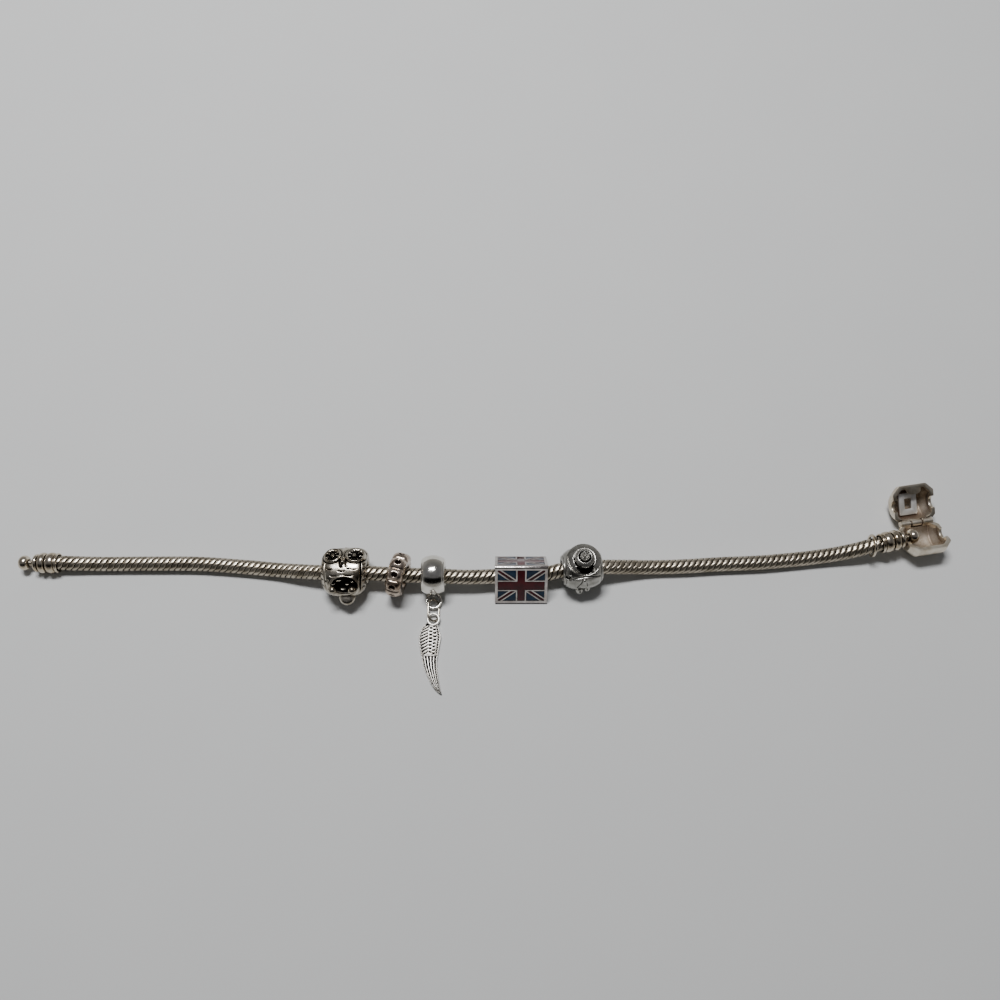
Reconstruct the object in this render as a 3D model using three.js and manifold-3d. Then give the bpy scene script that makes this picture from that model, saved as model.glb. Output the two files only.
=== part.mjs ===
// A silver charm bracelet that lies open and nearly straight, its barrel clasp opened.
// Millimetres, +Z up, +X along the bracelet towards the clasp, +Y away from the wing pendant.
// The surface that it lies on is z = 0, and the origin is the bottom centre of its box.
import * as THREE from "three";
import { mergeVertices } from "three/addons/utils/BufferGeometryUtils.js";
import Module from "manifold-3d";

const wasm = await Module();
wasm.setup();

// Driving sizes of the chain
const chain_radius = 1.55;
const chain_sides = 10;
const link_pitch = 1.32;
const link_groove = 0.3;
const link_slant = 0.55;
const bore_play = 0.75;
const bore_sides = 24;

// Route of the chain's centre line, from inside the ball end's cap to inside the clasp's cap
const chain_route = [
  [-95.2, 1.47, 2.2],
  [-92.2, 1.46, 2.12],
  [-88.2, 1.45, 1.76],
  [-84.0, 1.44, 1.58],
  [-74.5, 1.5, 1.58],
  [-64.0, 1.44, 1.58],
  [-53.2, 0.66, 1.58],
  [-47.0, 0.0, 1.85],
  [-42.0, -0.65, 2.85],
  [-37.0, -1.15, 3.75],
  [-32.4, -1.27, 3.98],
  [-27.8, -1.39, 4.15],
  [-21.3, -1.9, 4.35],
  [-18.0, -1.95, 4.25],
  [-14.0, -1.85, 4.05],
  [-10.4, -2.05, 3.85],
  [-6.4, -2.1, 3.6],
  [-1.0, -1.85, 3.35],
  [4.4, -1.65, 3.2],
  [9.9, -1.3, 3.38],
  [12.8, -0.75, 3.98],
  [17.1, -0.45, 4.15],
  [21.5, -0.05, 4.08],
  [27.0, 0.4, 2.75],
  [32.0, 0.67, 1.68],
  [38.7, 0.89, 1.58],
  [47.2, 1.4, 1.58],
  [55.3, 1.75, 1.58],
  [61.5, 2.3, 1.58],
  [67.0, 2.9, 1.66],
  [71.5, 3.45, 2.1],
  [75.5, 4.03, 3.05],
  [79.2, 4.82, 3.92],
  [82.1, 5.5, 4.1],
];

// Driving sizes of the two chain ends: a head on a neck, and a ribbed cap crimped on the chain
const head_length = 2.2;
const head_radius = 1.58;
const neck_length = 1.2;
const neck_radius = 0.6;
const cap_length = 5.2;
const cap_radius = 2.2;
const cap_socket = 1.5;
const socket_gap = 0.18;
const end_sides = 12;

// Driving sizes of the loose ring beside the clasp's cap
const stop_ring_radius = 2.45;
const stop_ring_width = 0.5;
const stop_ring_tilt = 12;
const stop_ring_gap = 1.6;
const stop_ring_play = 0.3;

// Driving sizes of the barrel clasp
const clasp_length = 9.0;
const clasp_radius = 4.3;
const clasp_wall = 0.85;
const clasp_end_wall = 0.75;
const clasp_chamfer = 1.6;
const clasp_split = 0.12;
const clasp_sides = 32;
const clasp_yaw = 9;
const clasp_roll = 28;
const clasp_open = 123.5;
const end_cap_yaw = 13;
const end_hole_radius = 1.25;
const knuckle_radius = 0.7;
const knuckle_inset = 0.3;
const knuckle_row = 7.2;
const knuckle_middle = 2.2;
const knuckle_gap = 0.25;
const pin_radius = 0.28;
const pin_gap = 0.14;
const plate_thickness = 0.45;
const plate_depth = 1.7;
const plate_gap = 0.3;
const window_length = 1.5;
const window_width = 2.3;
const tongue_length = 3.5;
const tongue_reach = 1.7;
const tongue_thickness = 0.45;
const ball_play = 0.2;
const ball_drop = 0.2;

// Driving sizes of the owl bead
const owl_place = -32.4;
const owl_width = 9.25;
const owl_reach_up = 5.25;
const owl_reach_down = 5.3;
const owl_thickness = 8.6;
const owl_eye_radius = 1.75;
const owl_eye_spacing = 4.35;
const owl_eye_depth = 0.4;
const owl_belly_depth = 0.3;
const owl_belly_width = 5.2;
const owl_belly_length = 3.0;
const owl_belly_aside = 0.4;
const owl_belly_down = 3.5;
const owl_foot_radius = 0.95;
const owl_tail_radius = 1.6;
const owl_tail_reach = 1.25;

// Driving sizes of the lobed spacer bead
const spacer_place = -21.3;
const spacer_radius = 4.75;
const spacer_width = 3.25;
const spacer_lobes = 10;
const spacer_lobe_height = 0.45;
const spacer_dimple = 0.22;
const spacer_lean = -14;

// Driving sizes of the hanger bead, the two rings below it and the wing
const hanger_place = -13.95;
const hanger_radius = 4.2;
const hanger_width = 4.85;
const hanger_sides = 24;
const hanger_loop_angle = 46;
const hanger_loop_radius = 0.62;
const hanger_loop_wire = 0.2;
const jump_ring_radius = 1.5;
const jump_ring_wire = 0.27;
const link_ring_width = 2.52;
const link_ring_length = 4.56;
const link_ring_wire = 0.24;
const link_ring_roll = 31;
const link_ring_height = 0.95;
const ring_sides = 16;
const wire_sides = 6;
const ring_clear = 0.15;
const wing_clear = 0.35;
const wing_loop_radius = 1.17;
const wing_loop_wire = 0.25;
const wing_length = 14.7;
const wing_width = 4.65;
const wing_thickness = 0.95;
const wing_feather_height = 0.22;
const wing_crown = 0.25;
const wing_loop_overlap = 0.42;

// Driving sizes of the three sided flag bead
const flag_place = 4.4;
const flag_side = 11.0;
const flag_length = 10.9;
const flag_corner = 0.45;
const flag_frame = 0.55;
const cell_wall = 0.26;
const cell_depth = 0.34;
const enamel_gap = 0.06;
const cross_upright = 1.6;
const cross_bar = 2.4;
const saltire_width = 0.62;

// Driving sizes of the figure bead
const figure_place = 17.1;
const figure_width = 8.3;
const figure_radius = 4.45;
const figure_taper = 0.36;
const figure_yaw = 6;
const figure_hat_radius = 3.55;
const figure_hat_height = 1.3;
const figure_hat_aside = 0.35;
const figure_hat_back = 0.7;
const figure_knob_radius = 1.0;
const figure_brim_radius = 2.5;
const figure_face_radius = 1.6;
const figure_face_depth = 0.72;
const figure_curl_radius = 0.42;
const figure_curl_spread = 1.35;
const figure_curl_drop = 0.25;
const figure_stud_radius = 0.5;
const figure_shoe_radius = 0.95;

// Colours and finishes
const silver = new THREE.MeshStandardMaterial({ color: 0xb4aea2, roughness: 0.3, metalness: 1 });
const aged_silver = new THREE.MeshStandardMaterial({ color: 0x9a9285, roughness: 0.38, metalness: 1 });
const bright_silver = new THREE.MeshStandardMaterial({ color: 0xc9c6be, roughness: 0.18, metalness: 1 });
const red_enamel = new THREE.MeshStandardMaterial({ color: 0x6a1420, roughness: 0.25, metalness: 0 });
const blue_enamel = new THREE.MeshStandardMaterial({ color: 0x12395a, roughness: 0.25, metalness: 0 });

const degrees = THREE.MathUtils.degToRad;
const bracelet = new THREE.Group();
bracelet.name = "charm_bracelet";

// A closed mesh's geometry as a manifold solid, so that pieces can be joined and cut.
function solidOf(geometry) {
  const bare = geometry.index ? geometry.toNonIndexed() : geometry.clone();
  bare.deleteAttribute("normal");
  bare.deleteAttribute("uv");
  const merged = mergeVertices(bare, 1e-4);
  return new wasm.Manifold(
    new wasm.Mesh({
      numProp: 3,
      vertProperties: new Float32Array(merged.attributes.position.array),
      triVerts: new Uint32Array(merged.index.array),
    }),
  );
}

// The geometry of a manifold solid.
function geometryOf(solid) {
  const made = solid.getMesh();
  const geometry = new THREE.BufferGeometry();
  geometry.setAttribute("position", new THREE.BufferAttribute(made.vertProperties, 3));
  geometry.setIndex(new THREE.BufferAttribute(made.triVerts, 1));
  const flat = geometry.toNonIndexed();
  flat.computeVertexNormals();
  return flat;
}

// Closed rings of points, joined one to the next: capped at both ends, or round into a loop.
function loft(rings, looped) {
  const count = rings[0].length;
  const positions = [];
  const faces = [];
  rings.forEach((ring) => ring.forEach((point) => positions.push(point.x, point.y, point.z)));
  const spans = looped ? rings.length : rings.length - 1;
  for (let i = 0; i < spans; i++) {
    const here = i * count;
    const there = ((i + 1) % rings.length) * count;
    for (let j = 0; j < count; j++) {
      const next = (j + 1) % count;
      faces.push(here + j, here + next, there + next);
      faces.push(here + j, there + next, there + j);
    }
  }
  if (!looped) {
    for (let j = 1; j < count - 1; j++) {
      const last = (rings.length - 1) * count;
      faces.push(0, j + 1, j);
      faces.push(last, last + j, last + j + 1);
    }
  }
  const geometry = new THREE.BufferGeometry();
  geometry.setAttribute("position", new THREE.Float32BufferAttribute(positions, 3));
  geometry.setIndex(faces);
  const flat = geometry.toNonIndexed();
  flat.computeVertexNormals();
  return flat;
}

// A turned piece round the X axis, from a profile of points (along X, out from the axis).
function turned(profile, sides) {
  const points = profile.map(([along, out]) => new THREE.Vector2(out, along));
  return new THREE.LatheGeometry(points, sides).rotateZ(-Math.PI / 2);
}

// A wire ring in the XY plane, stretched along Y by two straight runs.
function wireRing(radius, wire, run) {
  const rings = [];
  for (let i = 0; i < ring_sides; i++) {
    const turn = (2 * Math.PI * i) / ring_sides;
    const shift = (run / 2) * Math.sign(Math.round(Math.sin(turn) * 1e6));
    const ring = [];
    for (let j = 0; j < wire_sides; j++) {
      const round = (2 * Math.PI * j) / wire_sides;
      const out = radius + wire * Math.cos(round);
      const x = out * Math.cos(turn);
      const y = out * Math.sin(turn) + shift;
      ring.push(new THREE.Vector3(x, y, -wire * Math.sin(round)));
    }
    rings.push(ring);
  }
  return loft(rings, true);
}

function addPiece(parent, name, geometry, material) {
  const mesh = new THREE.Mesh(geometry, material);
  mesh.name = name;
  parent.add(mesh);
  return mesh;
}

// The chain: links as slanted ribs, swept along the route
const route_curve = new THREE.CatmullRomCurve3(
  chain_route.map((point) => new THREE.Vector3(...point)),
  false,
  "centripetal",
);
route_curve.arcLengthDivisions = 2000;

function routeAt(x) {
  let low = 0;
  let high = 1;
  for (let i = 0; i < 40; i++) {
    const middle = (low + high) / 2;
    if (route_curve.getPointAt(middle).x < x) low = middle;
    else high = middle;
  }
  const share = (low + high) / 2;
  return { point: route_curve.getPointAt(share), along: route_curve.getTangentAt(share) };
}

function chainRing(share, radius) {
  const centre = route_curve.getPointAt(share);
  const along = route_curve.getTangentAt(share);
  const side = new THREE.Vector3(0, 0, 1).cross(along).normalize();
  const up = along.clone().cross(side);
  const ring = [];
  for (let j = 0; j < chain_sides; j++) {
    const round = (2 * Math.PI * (j + 0.5)) / chain_sides;
    const point = centre.clone();
    point.addScaledVector(side, radius * Math.cos(round));
    point.addScaledVector(up, radius * Math.sin(round));
    point.addScaledVector(along, link_slant * radius * Math.cos(round));
    ring.push(point);
  }
  return ring;
}

const link_count = Math.round(route_curve.getLength() / link_pitch);
const chain_rings = [];
for (let i = 0; i <= 2 * link_count; i++) {
  const crest = i % 2 === 1;
  const share = THREE.MathUtils.clamp(i / (2 * link_count), 0.006, 0.994);
  if (share === 0.006 && i > 0) continue;
  if (share === 0.994 && i < 2 * link_count) continue;
  chain_rings.push(chainRing(share, crest ? chain_radius : chain_radius - link_groove));
}
addPiece(bracelet, "chain", loft(chain_rings, false), aged_silver);

// Profile shares of the head (of its length and radius) and of the ribbed cap (of its own)
const head_profile = [
  { along: 0, out: 0 },
  { along: 0.04, out: 0.4 },
  { along: 0.16, out: 0.74 },
  { along: 0.38, out: 0.95 },
  { along: 0.6, out: 1 },
  { along: 0.82, out: 0.93 },
  { along: 1, out: 0.7 },
];
const cap_profile = [
  { along: 0, out: 0.6 },
  { along: 0.05, out: 0.8 },
  { along: 0.12, out: 0.87 },
  { along: 0.18, out: 0.8 },
  { along: 0.24, out: 0.95 },
  { along: 0.32, out: 1 },
  { along: 0.42, out: 0.98 },
  { along: 0.5, out: 0.86 },
  { along: 0.58, out: 0.97 },
  { along: 0.66, out: 1 },
  { along: 0.78, out: 0.99 },
  { along: 0.87, out: 0.88 },
  { along: 0.92, out: 0.95 },
  { along: 1, out: 0.95 },
];

// A chain end along X: its head's tip at x = 0, then the neck, then the cap with its socket
function chainEnd() {
  const profile = head_profile.map((row) => [row.along * head_length, row.out * head_radius]);
  const cap_start = head_length + neck_length;
  profile.push([head_length, neck_radius]);
  profile.push([cap_start, neck_radius]);
  cap_profile.forEach((row) => {
    profile.push([cap_start + row.along * cap_length, row.out * cap_radius]);
  });
  const socket_radius = chain_radius + socket_gap;
  const socket_end = cap_start + cap_length - cap_socket - link_slant * chain_radius;
  profile.push([cap_start + cap_length, socket_radius]);
  profile.push([socket_end, socket_radius]);
  profile.push([socket_end, 0]);
  return turned(profile, end_sides);
}
const chain_end_length = head_length + neck_length + cap_length;

const route_start = route_curve.getPointAt(0);
const ball_end = addPiece(bracelet, "ball_end", chainEnd(), silver);
ball_end.position.set(route_start.x - chain_end_length + cap_socket, route_start.y, cap_radius);

// The clasp's own frame: X along the barrel, Y towards the hinge, Z out of the trough
function axisAt(yaw) {
  return new THREE.Vector3(Math.cos(degrees(yaw)), Math.sin(degrees(yaw)), 0);
}
const end_cap_axis = axisAt(end_cap_yaw);
const route_end = route_curve.getPointAt(1);
const end_cap_reach = cap_length - cap_socket + neck_length + head_length;
const end_hole_reach = end_cap_reach - head_length - ball_play - clasp_end_wall;
const clasp = new THREE.Group();
clasp.position.copy(route_end).addScaledVector(end_cap_axis, end_hole_reach);
clasp.position.addScaledVector(axisAt(clasp_yaw), clasp_length / 2);
clasp.position.z = clasp_radius;
clasp.rotation.set(-degrees(clasp_roll), 0, degrees(clasp_yaw), "ZYX");
bracelet.add(clasp);

const clasp_end_cap = addPiece(bracelet, "clasp_end_cap", chainEnd(), silver);
clasp_end_cap.position.copy(route_end).addScaledVector(end_cap_axis, end_cap_reach);
clasp_end_cap.position.z = clasp_radius - ball_drop;
clasp_end_cap.rotation.z = degrees(end_cap_yaw + 180);

// The whole barrel's shell, from which each half is cut
function barrelShell() {
  const half = clasp_length / 2;
  const inner = clasp_radius - clasp_wall;
  const inner_half = half - clasp_end_wall;
  const inner_chamfer = clasp_chamfer - clasp_end_wall / 2;
  const profile = [
    [-half, end_hole_radius],
    [-half, clasp_radius - clasp_chamfer],
    [-half + clasp_chamfer, clasp_radius],
    [half - clasp_chamfer, clasp_radius],
    [half, clasp_radius - clasp_chamfer],
    [half, end_hole_radius],
    [inner_half, end_hole_radius],
    [inner_half, inner - inner_chamfer],
    [inner_half - inner_chamfer, inner],
    [-inner_half + inner_chamfer, inner],
    [-inner_half, inner - inner_chamfer],
    [-inner_half, end_hole_radius],
    [-half, end_hole_radius],
  ];
  return solidOf(turned(profile, clasp_sides));
}

const hinge_reach = clasp_radius - knuckle_inset;

// A cylinder along X, centred on the hinge line
function hingeRod(radius, from, to, sides) {
  const rod = new THREE.CylinderGeometry(radius, radius, to - from, sides).rotateZ(Math.PI / 2);
  return solidOf(rod.translate((from + to) / 2, hinge_reach, 0));
}

// One half of the barrel: below the split for the base, above it for the lid
function barrelHalf(above) {
  const size = 4 * clasp_length;
  const block = new THREE.BoxGeometry(size, size, size);
  const middle = (size / 2) * (above ? -1 : 1) + (above ? 1 : -1) * (clasp_split / 2);
  return barrelShell().subtract(solidOf(block.translate(0, 0, middle)));
}

const row_end = knuckle_row / 2;
const middle_end = knuckle_middle / 2;
const relief_radius = knuckle_radius + knuckle_gap;
const pin_bore = hingeRod(pin_radius + pin_gap, -row_end - 1, row_end + 1, 12);

function claspBase() {
  const notch_end = middle_end + knuckle_gap;
  let half = barrelHalf(false);
  half = half.subtract(hingeRod(relief_radius, -notch_end, notch_end, 16));
  half = half.add(hingeRod(knuckle_radius, -row_end, -notch_end, 16));
  half = half.add(hingeRod(knuckle_radius, notch_end, row_end, 16));
  return geometryOf(half.subtract(pin_bore));
}
addPiece(clasp, "clasp_base", claspBase(), silver);

const hinge_pin = new THREE.CylinderGeometry(pin_radius, pin_radius, knuckle_row - knuckle_gap, 12);
addPiece(clasp, "hinge_pin", hinge_pin.rotateZ(Math.PI / 2).translate(0, hinge_reach, 0), silver);

// The catch tongue: a flat half round plate on the lid's free rim
function catchTongue() {
  const rim = -(clasp_radius - clasp_wall / 2);
  const end = tongue_length / 2;
  const tip = rim + tongue_reach;
  const shape = new THREE.Shape();
  shape.moveTo(-end, rim);
  shape.lineTo(end, rim);
  shape.lineTo(end, rim + 0.7 * tongue_reach);
  shape.quadraticCurveTo(end, tip, end / 2, tip);
  shape.quadraticCurveTo(-end / 1.5, tip, -end, rim);
  const plate = new THREE.ExtrudeGeometry(shape, {
    depth: tongue_thickness,
    bevelEnabled: false,
    curveSegments: 5,
  });
  return solidOf(plate.translate(0, 0, clasp_split));
}

function claspLid() {
  let half = barrelHalf(true);
  const reach = row_end + knuckle_gap;
  half = half.subtract(hingeRod(relief_radius, -reach, -middle_end, 16));
  half = half.subtract(hingeRod(relief_radius, middle_end, reach, 16));
  half = half.add(hingeRod(knuckle_radius, -middle_end, middle_end, 16));
  half = half.add(catchTongue());
  return geometryOf(half.subtract(pin_bore));
}

// The lid swings about the hinge line: the pivot group sits there, opened
const lid_pivot = new THREE.Group();
lid_pivot.position.set(0, hinge_reach, 0);
lid_pivot.rotation.x = -degrees(clasp_open);
clasp.add(lid_pivot);
const lid_frame = new THREE.Group();
lid_frame.position.set(0, -hinge_reach, 0);
lid_pivot.add(lid_frame);
addPiece(lid_frame, "clasp_lid", claspLid(), silver);

// The flat plate with its window, across the inside of the lid
function claspPlate() {
  const inner = clasp_radius - clasp_wall;
  const inner_half = clasp_length / 2 - clasp_end_wall / 2 - clasp_chamfer;
  const half_width = Math.sqrt(inner ** 2 - (plate_depth + plate_thickness) ** 2) - plate_gap;
  const plate_end = 0.55 * inner_half;
  const outline = new THREE.Shape();
  outline.moveTo(-inner_half, -half_width);
  outline.lineTo(plate_end, -half_width);
  outline.lineTo(plate_end, half_width);
  outline.lineTo(-inner_half, half_width);
  outline.closePath();
  const middle = (plate_end - inner_half) / 2;
  const opening = new THREE.Path();
  opening.moveTo(middle - window_length / 2, -window_width / 2);
  opening.lineTo(middle - window_length / 2, window_width / 2);
  opening.lineTo(middle + window_length / 2, window_width / 2);
  opening.lineTo(middle + window_length / 2, -window_width / 2);
  opening.closePath();
  outline.holes.push(opening);
  const plate = new THREE.ExtrudeGeometry(outline, { depth: plate_thickness, bevelEnabled: false });
  return plate.translate(0, 0, plate_depth);
}
addPiece(lid_frame, "clasp_plate", claspPlate(), bright_silver);

// The loose ring on the chain beside the clasp's cap
function stopRing() {
  const half = stop_ring_width / 2;
  const inner = chain_radius + stop_ring_play;
  const profile = [
    [-half, inner],
    [-half, stop_ring_radius - half / 2],
    [-half / 2, stop_ring_radius],
    [half / 2, stop_ring_radius],
    [half, stop_ring_radius - half / 2],
    [half, inner],
    [-half, inner],
  ];
  return turned(profile, end_sides);
}
const stop_ring = addPiece(bracelet, "stop_ring", stopRing(), silver);
const stop_ring_place = chain_route[chain_route.length - 1][0] - cap_socket - stop_ring_gap;
const stop_ring_spot = routeAt(stop_ring_place);
stop_ring.position.copy(stop_ring_spot.point);
stop_ring.quaternion.setFromUnitVectors(new THREE.Vector3(1, 0, 0), stop_ring_spot.along);
stop_ring.rotateZ(degrees(-stop_ring_tilt));

// A cast bead round its bore along X. Each section at a turn from +Y towards +Z runs from the
// left rim of the bore over the outside to the right rim, and closes through the bore.
function castBead(half_width, bore, turns, steps, outAt) {
  const sections = [];
  for (let i = 0; i < turns; i++) {
    const turn = (2 * Math.PI * i) / turns;
    const cos = Math.cos(turn);
    const sin = Math.sin(turn);
    const section = [new THREE.Vector3(-half_width, bore * cos, bore * sin)];
    for (let j = 0; j <= steps; j++) {
      const across = -Math.cos((Math.PI * j) / steps);
      const out = outAt(across, turn);
      section.push(new THREE.Vector3(across * half_width, out * cos, out * sin));
    }
    section.push(new THREE.Vector3(half_width, bore * cos, bore * sin));
    sections.push(section);
  }
  return loft(sections.reverse(), true);
}

const bead_bore = chain_radius + bore_play;

// The height at which a bead's lowest point rests on the surface
function seatHeight(geometry) {
  geometry.computeBoundingBox();
  return -geometry.boundingBox.min.z;
}

// How far a ray from the bore's centre runs to an ellipse whose centre is moved along Y
function ellipseReach(turn, half_y, half_z, centre_y) {
  const cos = Math.cos(turn);
  const sin = Math.sin(turn);
  const a = (cos / half_y) ** 2 + (sin / half_z) ** 2;
  const b = (-2 * cos * centre_y) / half_y ** 2;
  const c = (centre_y / half_y) ** 2 - 1;
  return (-b + Math.sqrt(b * b - 4 * a * c)) / (2 * a);
}

function smoothBump(distance) {
  return distance < 1 ? 0.5 + 0.5 * Math.cos(Math.PI * distance) : 0;
}

// The owl: an oval body lying on its back, with eyes, beak, belly, feet and tail
const owl_half_length = (owl_reach_up + owl_reach_down) / 2;
const owl_centre = (owl_reach_up - owl_reach_down) / 2;

function owlOut(across, turn) {
  const edge = 1 - 0.2 * across ** 6 - 0.03 * across ** 2;
  const plain = ellipseReach(turn, owl_half_length, owl_thickness / 2, owl_centre) * edge;
  const x = (across * owl_width) / 2;
  const y = plain * Math.cos(turn);
  if (Math.sin(turn) < 0) return plain;
  let relief = 0;
  [-1, 1].forEach((side) => {
    const eye = Math.hypot(x - (side * owl_eye_spacing) / 2, (y - 0.5 * owl_reach_up) * 1.05);
    const share = eye / owl_eye_radius;
    if (share < 0.86) relief -= owl_eye_depth * (1 - smoothBump(share / 0.35));
    else relief += 0.18 * smoothBump(Math.abs(share - 0.98) / 0.22);
  });
  const belly_across = (x - owl_belly_aside) / (owl_belly_width / 2);
  const belly_along = (y + owl_belly_down) / (owl_belly_length / 2);
  const belly = Math.hypot(belly_across, belly_along);
  if (belly < 1) relief -= owl_belly_depth;
  return plain + relief;
}

function ellipsoid(radius, scale, place) {
  const ball = new THREE.SphereGeometry(radius, 8, 6);
  ball.scale(...scale).translate(...place);
  return solidOf(ball);
}

function owlBead() {
  let body = solidOf(castBead(owl_width / 2, bead_bore, 38, 12, owlOut));
  const half = owl_thickness / 2;
  const bore = new THREE.CylinderGeometry(bead_bore, bead_bore, 2 * owl_width, bore_sides);
  bore.rotateZ(Math.PI / 2);
  const beak_place = [0, 0.12 * owl_reach_up, half * 0.93];
  body = body.add(ellipsoid(0.62, [0.75, 1.25, 1], beak_place));
  [-1, 1].forEach((side) => {
    const foot_place = [side * 0.23 * owl_width, -0.86 * owl_reach_down, half * 0.4];
    body = body.add(ellipsoid(owl_foot_radius, [0.95, 1, 1.1], foot_place));
  });
  const tail_centre = -owl_reach_down - owl_tail_reach + owl_tail_radius * 0.9;
  body = body.add(ellipsoid(owl_tail_radius, [1, 1.1, 0.62], [0, tail_centre, -half * 0.2]));
  return geometryOf(body.subtract(solidOf(bore)));
}
const owl_bead = addPiece(bracelet, "owl_bead", owlBead(), aged_silver);
owl_bead.position.set(owl_place, routeAt(owl_place).point.y, seatHeight(owl_bead.geometry));

// The spacer: a narrow ring of round lobes, each with a dimple
function spacerOut(across, turn) {
  const lobe = Math.abs(Math.cos((spacer_lobes / 2) * turn));
  const edge = 1 - 0.13 * across ** 4;
  const dimple = smoothBump(Math.hypot(across / 0.62, (1 - lobe) / 0.3));
  const out = spacer_radius - spacer_lobe_height * (1 - lobe ** 0.7);
  return out * edge - spacer_dimple * dimple;
}
const spacer_turns = spacer_lobes * 6;
const spacer_geometry = castBead(spacer_width / 2, bead_bore, spacer_turns, 5, spacerOut);
const spacer_bead = addPiece(bracelet, "spacer_bead", spacer_geometry, aged_silver);
spacer_bead.position.copy(routeAt(spacer_place).point).setZ(seatHeight(spacer_geometry));
spacer_bead.rotation.z = degrees(spacer_lean);

// The hanger bead: a smooth barrel with a soldered loop low on its near side
function hangerOut(across) {
  const x = (across * hanger_width) / 2;
  return Math.sqrt(hanger_radius ** 2 - x ** 2);
}
const loop_turn = degrees(180 + hanger_loop_angle);
const loop_reach = hanger_radius + hanger_loop_radius * 0.7;
const loop_y = loop_reach * Math.cos(loop_turn);
const loop_z = loop_reach * Math.sin(loop_turn);

function hangerBead() {
  const barrel = solidOf(castBead(hanger_width / 2, bead_bore, hanger_sides, 5, hangerOut));
  const loop = wireRing(hanger_loop_radius, hanger_loop_wire, 0).rotateY(Math.PI / 2);
  return geometryOf(barrel.add(solidOf(loop.translate(0, loop_y, loop_z))));
}
const hanger_bead = addPiece(bracelet, "hanger_bead", hangerBead(), bright_silver);
const hanger_seat = seatHeight(hanger_bead.geometry);
hanger_bead.position.set(hanger_place, routeAt(hanger_place).point.y, hanger_seat);

// The jump ring through that loop, the oval link through it, and the wing's ring through the link
const loop_place = hanger_bead.position.clone().add(new THREE.Vector3(0, loop_y, loop_z));
const jump_ring_geometry = wireRing(jump_ring_radius, jump_ring_wire, 0);
const jump_ring = addPiece(bracelet, "jump_ring", jump_ring_geometry, bright_silver);
const jump_ring_height = THREE.MathUtils.lerp(loop_place.z, link_ring_height, 0.6);
jump_ring.position.set(hanger_place, loop_place.y - jump_ring_radius, jump_ring_height);
jump_ring.rotation.x = Math.asin((loop_place.z - jump_ring.position.z) / jump_ring_radius);

const link_run = link_ring_length - link_ring_width;
const link_geometry = wireRing(link_ring_width / 2, link_ring_wire, link_run);
const link_ring = addPiece(bracelet, "link_ring", link_geometry, aged_silver);
const loop_near_edge = loop_place.y - hanger_loop_radius - hanger_loop_wire;
const link_far_end = loop_near_edge - ring_clear - link_ring_wire;
link_ring.position.set(hanger_place, link_far_end - link_ring_length / 2, link_ring_height);
link_ring.rotation.y = degrees(link_ring_roll);

// Outline shares of the wing: down its length, and its left and right edges across its width
const wing_outline = [
  { down: 0, left: -0.31, right: 0.17 },
  { down: 0.06, left: -0.47, right: 0.24 },
  { down: 0.13, left: -0.59, right: 0.31 },
  { down: 0.2, left: -0.64, right: 0.36 },
  { down: 0.31, left: -0.61, right: 0.31 },
  { down: 0.44, left: -0.52, right: 0.24 },
  { down: 0.55, left: -0.44, right: 0.2 },
  { down: 0.65, left: -0.35, right: 0.22 },
  { down: 0.76, left: -0.2, right: 0.27 },
  { down: 0.85, left: -0.07, right: 0.32 },
  { down: 0.93, left: 0.11, right: 0.38 },
  { down: 0.98, left: 0.28, right: 0.42 },
  { down: 1, left: 0.4, right: 0.44 },
];

function outlineAt(down) {
  let i = 1;
  while (i < wing_outline.length - 1 && wing_outline[i].down < down) i++;
  const before = wing_outline[i - 1];
  const after = wing_outline[i];
  const share = (down - before.down) / (after.down - before.down);
  return {
    left: wing_width * THREE.MathUtils.lerp(before.left, after.left, share),
    right: wing_width * THREE.MathUtils.lerp(before.right, after.right, share),
  };
}

// The feathers' relief: short slanted ones above, long ones down the lower half
function featherLift(down, across) {
  const feathers = down < 0.5 ? 3 : 4;
  const slant = down < 0.5 ? 9 * down : 0;
  return wing_feather_height * Math.abs(Math.sin(Math.PI * (feathers * across + slant)));
}

function wingPendant() {
  const rows = 28;
  const columns = 12;
  const wing_edge = wing_thickness - wing_feather_height - wing_crown;
  const rings = [];
  for (let i = 0; i <= rows; i++) {
    const down = i / rows;
    const edge = outlineAt(down);
    const y = -down * wing_length;
    const ring = [];
    for (let j = 0; j <= columns; j++) {
      const across = j / columns;
      const x = THREE.MathUtils.lerp(edge.left, edge.right, across);
      const crown = wing_crown * (1 - (2 * across - 1) ** 4);
      const lift = j % columns === 0 ? 0 : featherLift(down, across);
      ring.push(new THREE.Vector3(x, y, wing_edge + crown + lift));
    }
    ring.push(new THREE.Vector3(edge.right, y, 0));
    ring.push(new THREE.Vector3(edge.left, y, 0));
    rings.unshift(ring);
  }
  const body = solidOf(loft(rings, false));
  const ring_place = wing_loop_radius - wing_loop_overlap;
  const loop = wireRing(wing_loop_radius, wing_loop_wire, 0);
  return geometryOf(body.add(solidOf(loop.translate(0, ring_place, link_ring_height))));
}
const wing_pendant = addPiece(bracelet, "wing_pendant", wingPendant(), bright_silver);
const link_near_end = link_far_end - link_ring_length;
const wing_loop_near_end = link_near_end - link_ring_wire - wing_clear - wing_loop_wire;
wing_pendant.position.set(hanger_place, wing_loop_near_end + wing_loop_overlap, 0);

// The flag bead: a three sided prism, its faces cut into cells for enamel
const flag_height = (flag_side * Math.sqrt(3)) / 2;
const flag_inner = flag_height / 3;

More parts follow.
